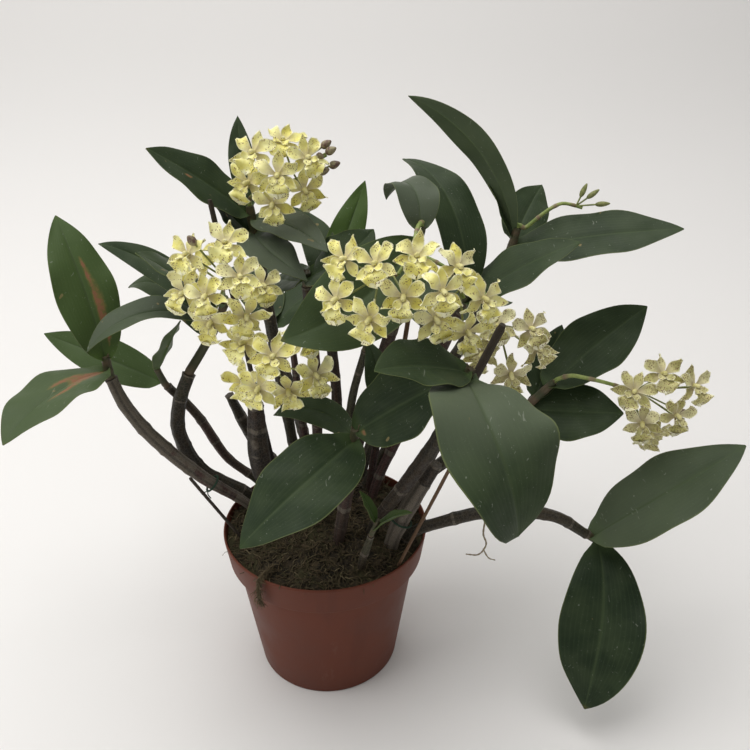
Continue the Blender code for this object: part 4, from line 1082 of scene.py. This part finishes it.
def make_foliage(name, skins):
    """A leafy shoot: its stem with dry collars, and its leaves."""
    _, radius, leaves = SHOOTS[name]
    path = shoot_path(name, CANE_STEP)

    def from_collar(share):
        return min(abs(share - leaf[0]) for leaf in leaves)

    def skin_offset(share, angle):
        return radius * (0.10 * bell(from_collar(share), 0.05) + 0.04 * math.cos(5 * angle))

    def tone_at(share):
        return 0.85 * max(bell(from_collar(share) - 0.05, 0.035), smooth(0.14, 0.0, share)), 0.0, 0.3

    shape = Shape()
    ends = (0.5, 0.0, 0.3)
    shape.tube(path, lambda s: radius * (1 - 0.2 * s), SHOOT_SIDES, 0, tone_at, skin_offset, ends)
    for index, leaf in enumerate(leaves):
        start = point_along(shoot_path(name), leaf[0]) + polar(math.radians(leaf[1]), 0.5 * radius)
        fine_leaf(shape, start, leaf, 1.7 * index + 0.9 * len(name), (name, index))
    if name in BARE_TIPS:
        end = (path[-1] - path[-2]).normalized()
        dry_bract(shape, random.Random("shoot" + name), path[-1] - end, end, BARE_TIPS[name], 4)
    shape.piece("leaves_" + name, skins, ["foliage_" + name], 55.0)


def tepal(shape, at, angle, length, width, tip, lift, tip_lift, kind, rng, tone):
    """One petal, sepal or lip of a bloom; at() turns the bloom's own space to the part's."""
    cup, frill, neck, swell, swelled, ending, power, root = TEPALS[kind]
    along = polar(math.radians(angle))
    across = Vector((-along.y, along.x, 0))
    phase = rng.uniform(0, 6.28)
    twist = 0.0 if kind == "lip" else rng.uniform(-1.2, 1.2)
    upper, lower, masks = [], [], []
    for i in range(TEPAL_ROWS):
        t = i / (TEPAL_ROWS - 1)
        broad = neck + (1 - neck) * smooth(swell, swelled, t)
        broad *= max(0.0, 1 - max(0.0, (t - ending) / (1 - ending)) ** power) ** root
        half = max(0.5 * width * broad, 0.18)
        rise = lift * math.sin(math.pi / 2 * min(t / 0.6, 1.0)) + (tip_lift - lift) * smooth(0.6, 1.0, t)
        turned = twist * smooth(0.3, 1.0, t)
        side = across * math.cos(turned) + Vector((0, 0, math.sin(turned)))
        normal = Vector((0, 0, math.cos(turned))) - across * math.sin(turned)
        spine = along * ((0.06 + 0.94 * t) * length)
        for k in range(TEPAL_COLUMNS):
            u = 2 * k / (TEPAL_COLUMNS - 1) - 1
            scallop = 0.13 * math.cos(3.0 * math.pi * u) * smooth(0.5, 1.0, t) if kind == "lip" else 0.0
            ruffle = frill * width * abs(u) ** 1.5 * smooth(0.15, 0.6, t)
            ruffle *= math.sin(10.0 * t + phase + 2.6 * u)
            height = cup * half * u * u + ruffle - 0.05 * half * bell(u, 0.2)
            point = spine * (1.0 + scallop) + side * (u * half) + across * (tip * t) + normal * height
            point.z += rise
            upper.append(at(point + normal * (TEPAL_SHEET / 2)))
            lower.append(at(point - normal * (TEPAL_SHEET / 2)))
            # Second mask: grows towards the heart, where the petal colour is darkened, partly as painted
            # shade
            masks.append((tone[0], smooth(0.55, 0.15, t) * tone[1], tone[2]))
    shape.blade(upper, lower, TEPAL_COLUMNS, masks, (0, 0))


def fine_bloom(shape, place, facing, rng, r, mottled, look):
    """One bloom: three pointed sepals, two broad petals, a scalloped lip and a pale column."""
    z = facing.normalized()
    y = (Vector((0, 0, 1)) - z * z.z).normalized()
    turn = Matrix.Rotation(math.radians(rng.uniform(-22, 22)), 3, z)
    frame = turn @ Matrix((y.cross(z), y, z)).transposed()

    def at(point):
        return place + frame @ point

    for angle, kind, lean in BLOOM_PARTS:
        width, lift, least, most = BLOOM_KINDS[kind]
        bend = rng.uniform(-0.10, 0.10)
        # tone: greener mottling, heart darkening that is partly painted shade, and paleness
        tone = (mottled, 0.8, look.uniform(least, most))
        curl = look.uniform(-0.18, 0.45)
        spin = look.uniform(-9, 9)
        long = r * look.uniform(0.92, 1.08)
        tip_lift = 0.4 * lift - 0.1 + bend + curl
        tepal(shape, at, angle + spin, long, width * r, lean * r, lift * r, tip_lift * r, kind, look, tone)
    tepal(shape, at, 270, 0.88 * r, r, 0.0, 0.36 * r, 0.16 * r, "lip", look, (mottled, 0.9, 0.1))
    lobe_tone = (mottled, 0.9, 0.3)
    for angle in (232, 308):
        tepal(shape, at, angle, 0.46 * r, 0.36 * r, 0.0, 0.34 * r, 0.40 * r, "petal", look, lobe_tone)
    path = [at(Vector((0, y, z)) * r) for y, z, _ in COLUMN]
    radii = dict(zip(share_along(path), (radius for _, _, radius in COLUMN)))
    shape.tube(path, lambda s: radii[s] * r, 8, 0, (0.45, 0.25, 0.3))


def make_spray(name, skins):
    """A flower spray: jointed stalks, thin pedicels, blooms and buds."""
    carrier, stalks, centre, blooms, buds = SPRAYS[name]
    stem = shoot_path(carrier) if carrier in SHOOTS else cane_path(carrier)
    paths = [grown_on(stem, stalks[0], STALK_STEP)] + [spline(branch, STALK_STEP) for branch in stalks[1:]]
    centre = Vector(centre)
    rng = random.Random(len(name) * 7 + len(blooms))
    look = random.Random("spray" + name)
    shape = Shape()

    def from_joint(share):
        return share * STALK_JOINTS % 1.0 - 0.5

    for index, path in enumerate(paths):
        thick, taper = BRANCH if index else STALK
        shape.tube(spline(path, 2.0), lambda s: thick - taper * s, 10, 1,
                   lambda s: (0.0, 0.0, 0.9 * bell(from_joint(s), 0.12)),
                   lambda s, a: 0.35 * bell(from_joint(s), 0.08), (0.0, 0.0, 0.2))
    for offset in spread(blooms):
        place = centre + offset
        facing = offset.normalized() * 0.45 + BLOOM_FACING
        radius = BLOOM_FLARE * BLOOM_R * rng.uniform(0.94, 1.06)
        fine_bloom(shape, place, facing, rng, radius, MOTTLED.get(name, 0.0), look)
        facing.normalize()
        foot, behind = pedicel_foot(paths, place, facing)
        bend = [place - facing * PEDICEL_STRAIGHT] if behind else []
        path = spline([foot, *bend, place], 3.0)
        shape.tube(path, lambda s: 0.62 + 0.45 * s ** 3, 8, 1, (0.0, 0.0, 0.25))
    slender = name == "top_right"
    length, plump = SLENDER_BUD if slender else BUD
    for offset in buds:
        place = centre + Vector(offset)
        foot, _ = pedicel_foot(paths, place, Vector((0, -1, 0)))
        away = (place - foot).normalized()
        path = spline([foot, foot.lerp(place, 0.5), place - away * 2.5], 3.0)
        shape.tube(path, lambda s: 0.6, 8, 1, (0.0, 0.0, 0.2))
        body = [place + away * (length * i / 9 - 3.0) for i in range(10)]
        masks = (float(not slender), 0.0, look.uniform(0.2, 0.9))
        shape.tube(body, lambda s: 0.35 + plump * math.sin(math.pi * s ** 0.8) ** 0.8, 12, 2, masks,
                   lambda s, a: 0.15 * math.cos(3 * a))
    shape.piece("flowers_" + name, skins, ["spray_" + name])


def make_stake(name, skin):
    """A weathered straight stake or stick with a worn end."""
    foot, top, radius = STAKES[name]
    path = [Vector(foot).lerp(Vector(top), i / 60) for i in range(61)]

    def worn(share, angle):
        dent = 0.09 * noise.noise(Vector((share * 40.0 + len(name), math.cos(angle), math.sin(angle))))
        return radius * (dent - 0.25 * smooth(0.985, 1.0, share) - 0.04)

    shape = Shape()
    shape.tube(path, lambda s: radius, 16, offset_at=worn)
    shape.piece("wood_" + name, [skin], [name], 50.0)


def make_tie(name, skin):
    """Twine wound round a cane, two strands twisted, with cut ends."""
    cane, share, wire = TIES[name]
    path = cane_path(cane, 6.0)
    centre = point_along(path, share)
    axis = (point_along(path, share + 0.03) - centre).normalized()
    side = axis.orthogonal().normalized()
    other = axis.cross(side)
    reach = cane_radius(CANES[cane][0])(share) * (1 + CANE_RIB) + GAP + wire + 0.2
    offset = 0.45 * wire
    shape = Shape()
    for start in (0.0, math.pi):
        loop = []
        for i in range(TIE_STEPS + 1):
            a = 2 * math.pi * i / TIE_STEPS
            b = TIE_TWISTS * a + start
            outward = (side * math.cos(a) + other * math.sin(a)) * (reach + offset * math.cos(b))
            loop.append(centre + outward + axis * (offset * math.sin(b)))
        shape.tube(loop, lambda s: 0.5 * wire, 8)
    knot = centre + side * reach
    for lean in (0.9, -0.7):
        tail = [knot, knot + side * 2.0 + axis * lean * 2, knot + side * 3.5 + axis * lean * 6 + other * 2]
        shape.tube(spline(tail, 1.0), lambda s: 0.42 * wire, 8)
    shape.piece("twine_" + name, [skin], [name])


def make_moss_tuft(skin):
    """Dry moss threads that lie on the bark and hang over the rim."""
    rng = random.Random(12)
    azimuth = math.radians(MOSS_AZIMUTH)
    path = [polar(azimuth, *place) for place in MOSS_PATH]
    shares = share_along(path)
    smoothed = spline(path, 1.5)
    samples = share_along(smoothed)

    def thickness(share):
        i = next(i for i in range(1, len(shares)) if share <= shares[i] + 1e-9)
        t = (share - shares[i - 1]) / (shares[i] - shares[i - 1])
        return MOSS_RADII[i - 1] * (1 - t) + MOSS_RADII[i] * t

    shape = Shape()
    shape.tube(smoothed, lambda s: 0.42 * thickness(s), 14, 0, (0.8, 0.5, 0.0),
               lambda s, a: 0.35 * math.sin(5 * a + 30 * s) + 0.2 * math.sin(9 * a - 50 * s))
    for _ in range(MOSS_THREADS):
        share = rng.random()
        near = thickness(min(samples, key=lambda s: abs(s - share)))
        start = point_along(smoothed, share) + polar(azimuth + rng.uniform(0, 2 * math.pi), 0.35 * near)
        strand(shape, rng, start, MOSS_REACH, (-1.4, 0.3), 0.9, MOSS_THREAD_RADII,
               lambda tone: (0.6 + 0.4 * tone, 0.6 * (1 - tone), 0.7 * tone))
    shape.piece("moss_threads", [skin], ["moss_tuft"])


def make_dry_root(skin):
    """A thin curled dry root with one branch, pale and wrinkled."""
    shape = Shape()
    for thick, points in zip((ROOT_R, 0.8 * ROOT_R), ROOT_PATHS):
        shape.tube(spline(points, 1.0), lambda s: thick * (1 - 0.35 * s), 10,
                   offset_at=lambda s, a: 0.10 * math.sin(70 * s) + 0.05 * math.sin(3 * a))
    shape.piece("root_thread", [skin], ["dry_root"])


# Stage


def make_backdrop():
    """A floor that sweeps up into a wall, pale and matt."""
    front, start, radius, half, top = BACKDROP
    profile = [(front, 0.0), (start, 0.0)]
    for i in range(1, SWEEP_STEPS + 1):
        a = math.radians(90 * i / SWEEP_STEPS)
        profile.append((start + radius * math.sin(a), radius * (1 - math.cos(a))))
    profile.append((start + radius, top))
    faces = [(2 * i, 2 * i + 1, 2 * i + 3, 2 * i + 2) for i in range(len(profile) - 1)]
    mesh = bpy.data.meshes.new("backdrop")
    mesh.from_pydata([(x, y, z) for y, z in profile for x in (-half, half)], [], faces)
    mesh.materials.append(floor_material())
    mesh.shade_smooth()
    obj = bpy.data.objects.new("backdrop", mesh)
    bpy.context.scene.collection.objects.link(obj)


def area_lamp(name, place, target, size, power, colour):
    """A square soft lamp that points at a target."""
    data = bpy.data.lights.new(name, "AREA")
    data.shape = "SQUARE"
    data.size = size
    data.energy = power
    data.color = colour
    obj = bpy.data.objects.new(name, data)
    obj.location = place
    obj.rotation_euler = (Vector(target) - Vector(place)).to_track_quat("-Z", "Y").to_euler()
    bpy.context.scene.collection.objects.link(obj)


def make_stage():
    """Backdrop, soft lamps, dim surroundings and the camera."""
    make_backdrop()
    for name, lamp in LAMPS.items():
        area_lamp(name, *lamp)
    world = bpy.data.worlds.new("surroundings")
    world.use_nodes = True
    sky = world.node_tree.nodes["Background"].inputs
    sky["Color"].default_value, sky["Strength"].default_value = SURROUNDINGS
    scene = bpy.context.scene
    scene.world = world
    scene.view_settings.view_transform = "Standard"
    camera = bpy.data.cameras.new("camera")
    camera.sensor_width = CAMERA_SENSOR
    camera.lens = CAMERA_LENS
    camera.clip_start, camera.clip_end = CAMERA_CLIP
    eye = bpy.data.objects.new("camera", camera)
    eye.location = CAMERA_PLACE
    eye.rotation_euler = (math.radians(90 - CAMERA_TILT), 0.0, 0.0)
    scene.collection.objects.link(eye)
    scene.camera = eye


def main():
    """Load the frame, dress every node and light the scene."""
    for obj in list(bpy.data.objects):
        bpy.data.objects.remove(obj, do_unlink=True)
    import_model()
    make_pot()
    bark = bark_material()
    make_substrate(bark)
    cane = cane_material()
    for name in CANES:
        make_cane(name, cane)
    leaf_skins = [shoot_material(), leaf_material("leaf_upper", False), leaf_material("leaf_under", True)]
    for name in SHOOTS:
        make_foliage(name, leaf_skins)
    flower_skins = [petal_material(), stalk_material(), bud_material()]
    for name in SPRAYS:
        make_spray(name, flower_skins)
    dark_wood = wood_material("wood_dark", (0.018, 0.014, 0.010), (0.075, 0.058, 0.042))
    brown_wood = wood_material("wood_brown", (0.055, 0.030, 0.016), (0.17, 0.10, 0.055))
    for name in STAKES:
        make_stake(name, brown_wood if name in ("stake_centre", "stick_front") else dark_wood)
    twine = wood_material("twine_fibre", (0.010, 0.030, 0.020), (0.035, 0.075, 0.045))
    for name in TIES:
        make_tie(name, twine)
    make_moss_tuft(bark)
    make_dry_root(wood_material("root_skin", (0.16, 0.12, 0.075), (0.42, 0.36, 0.25)))
    make_stage()


main()
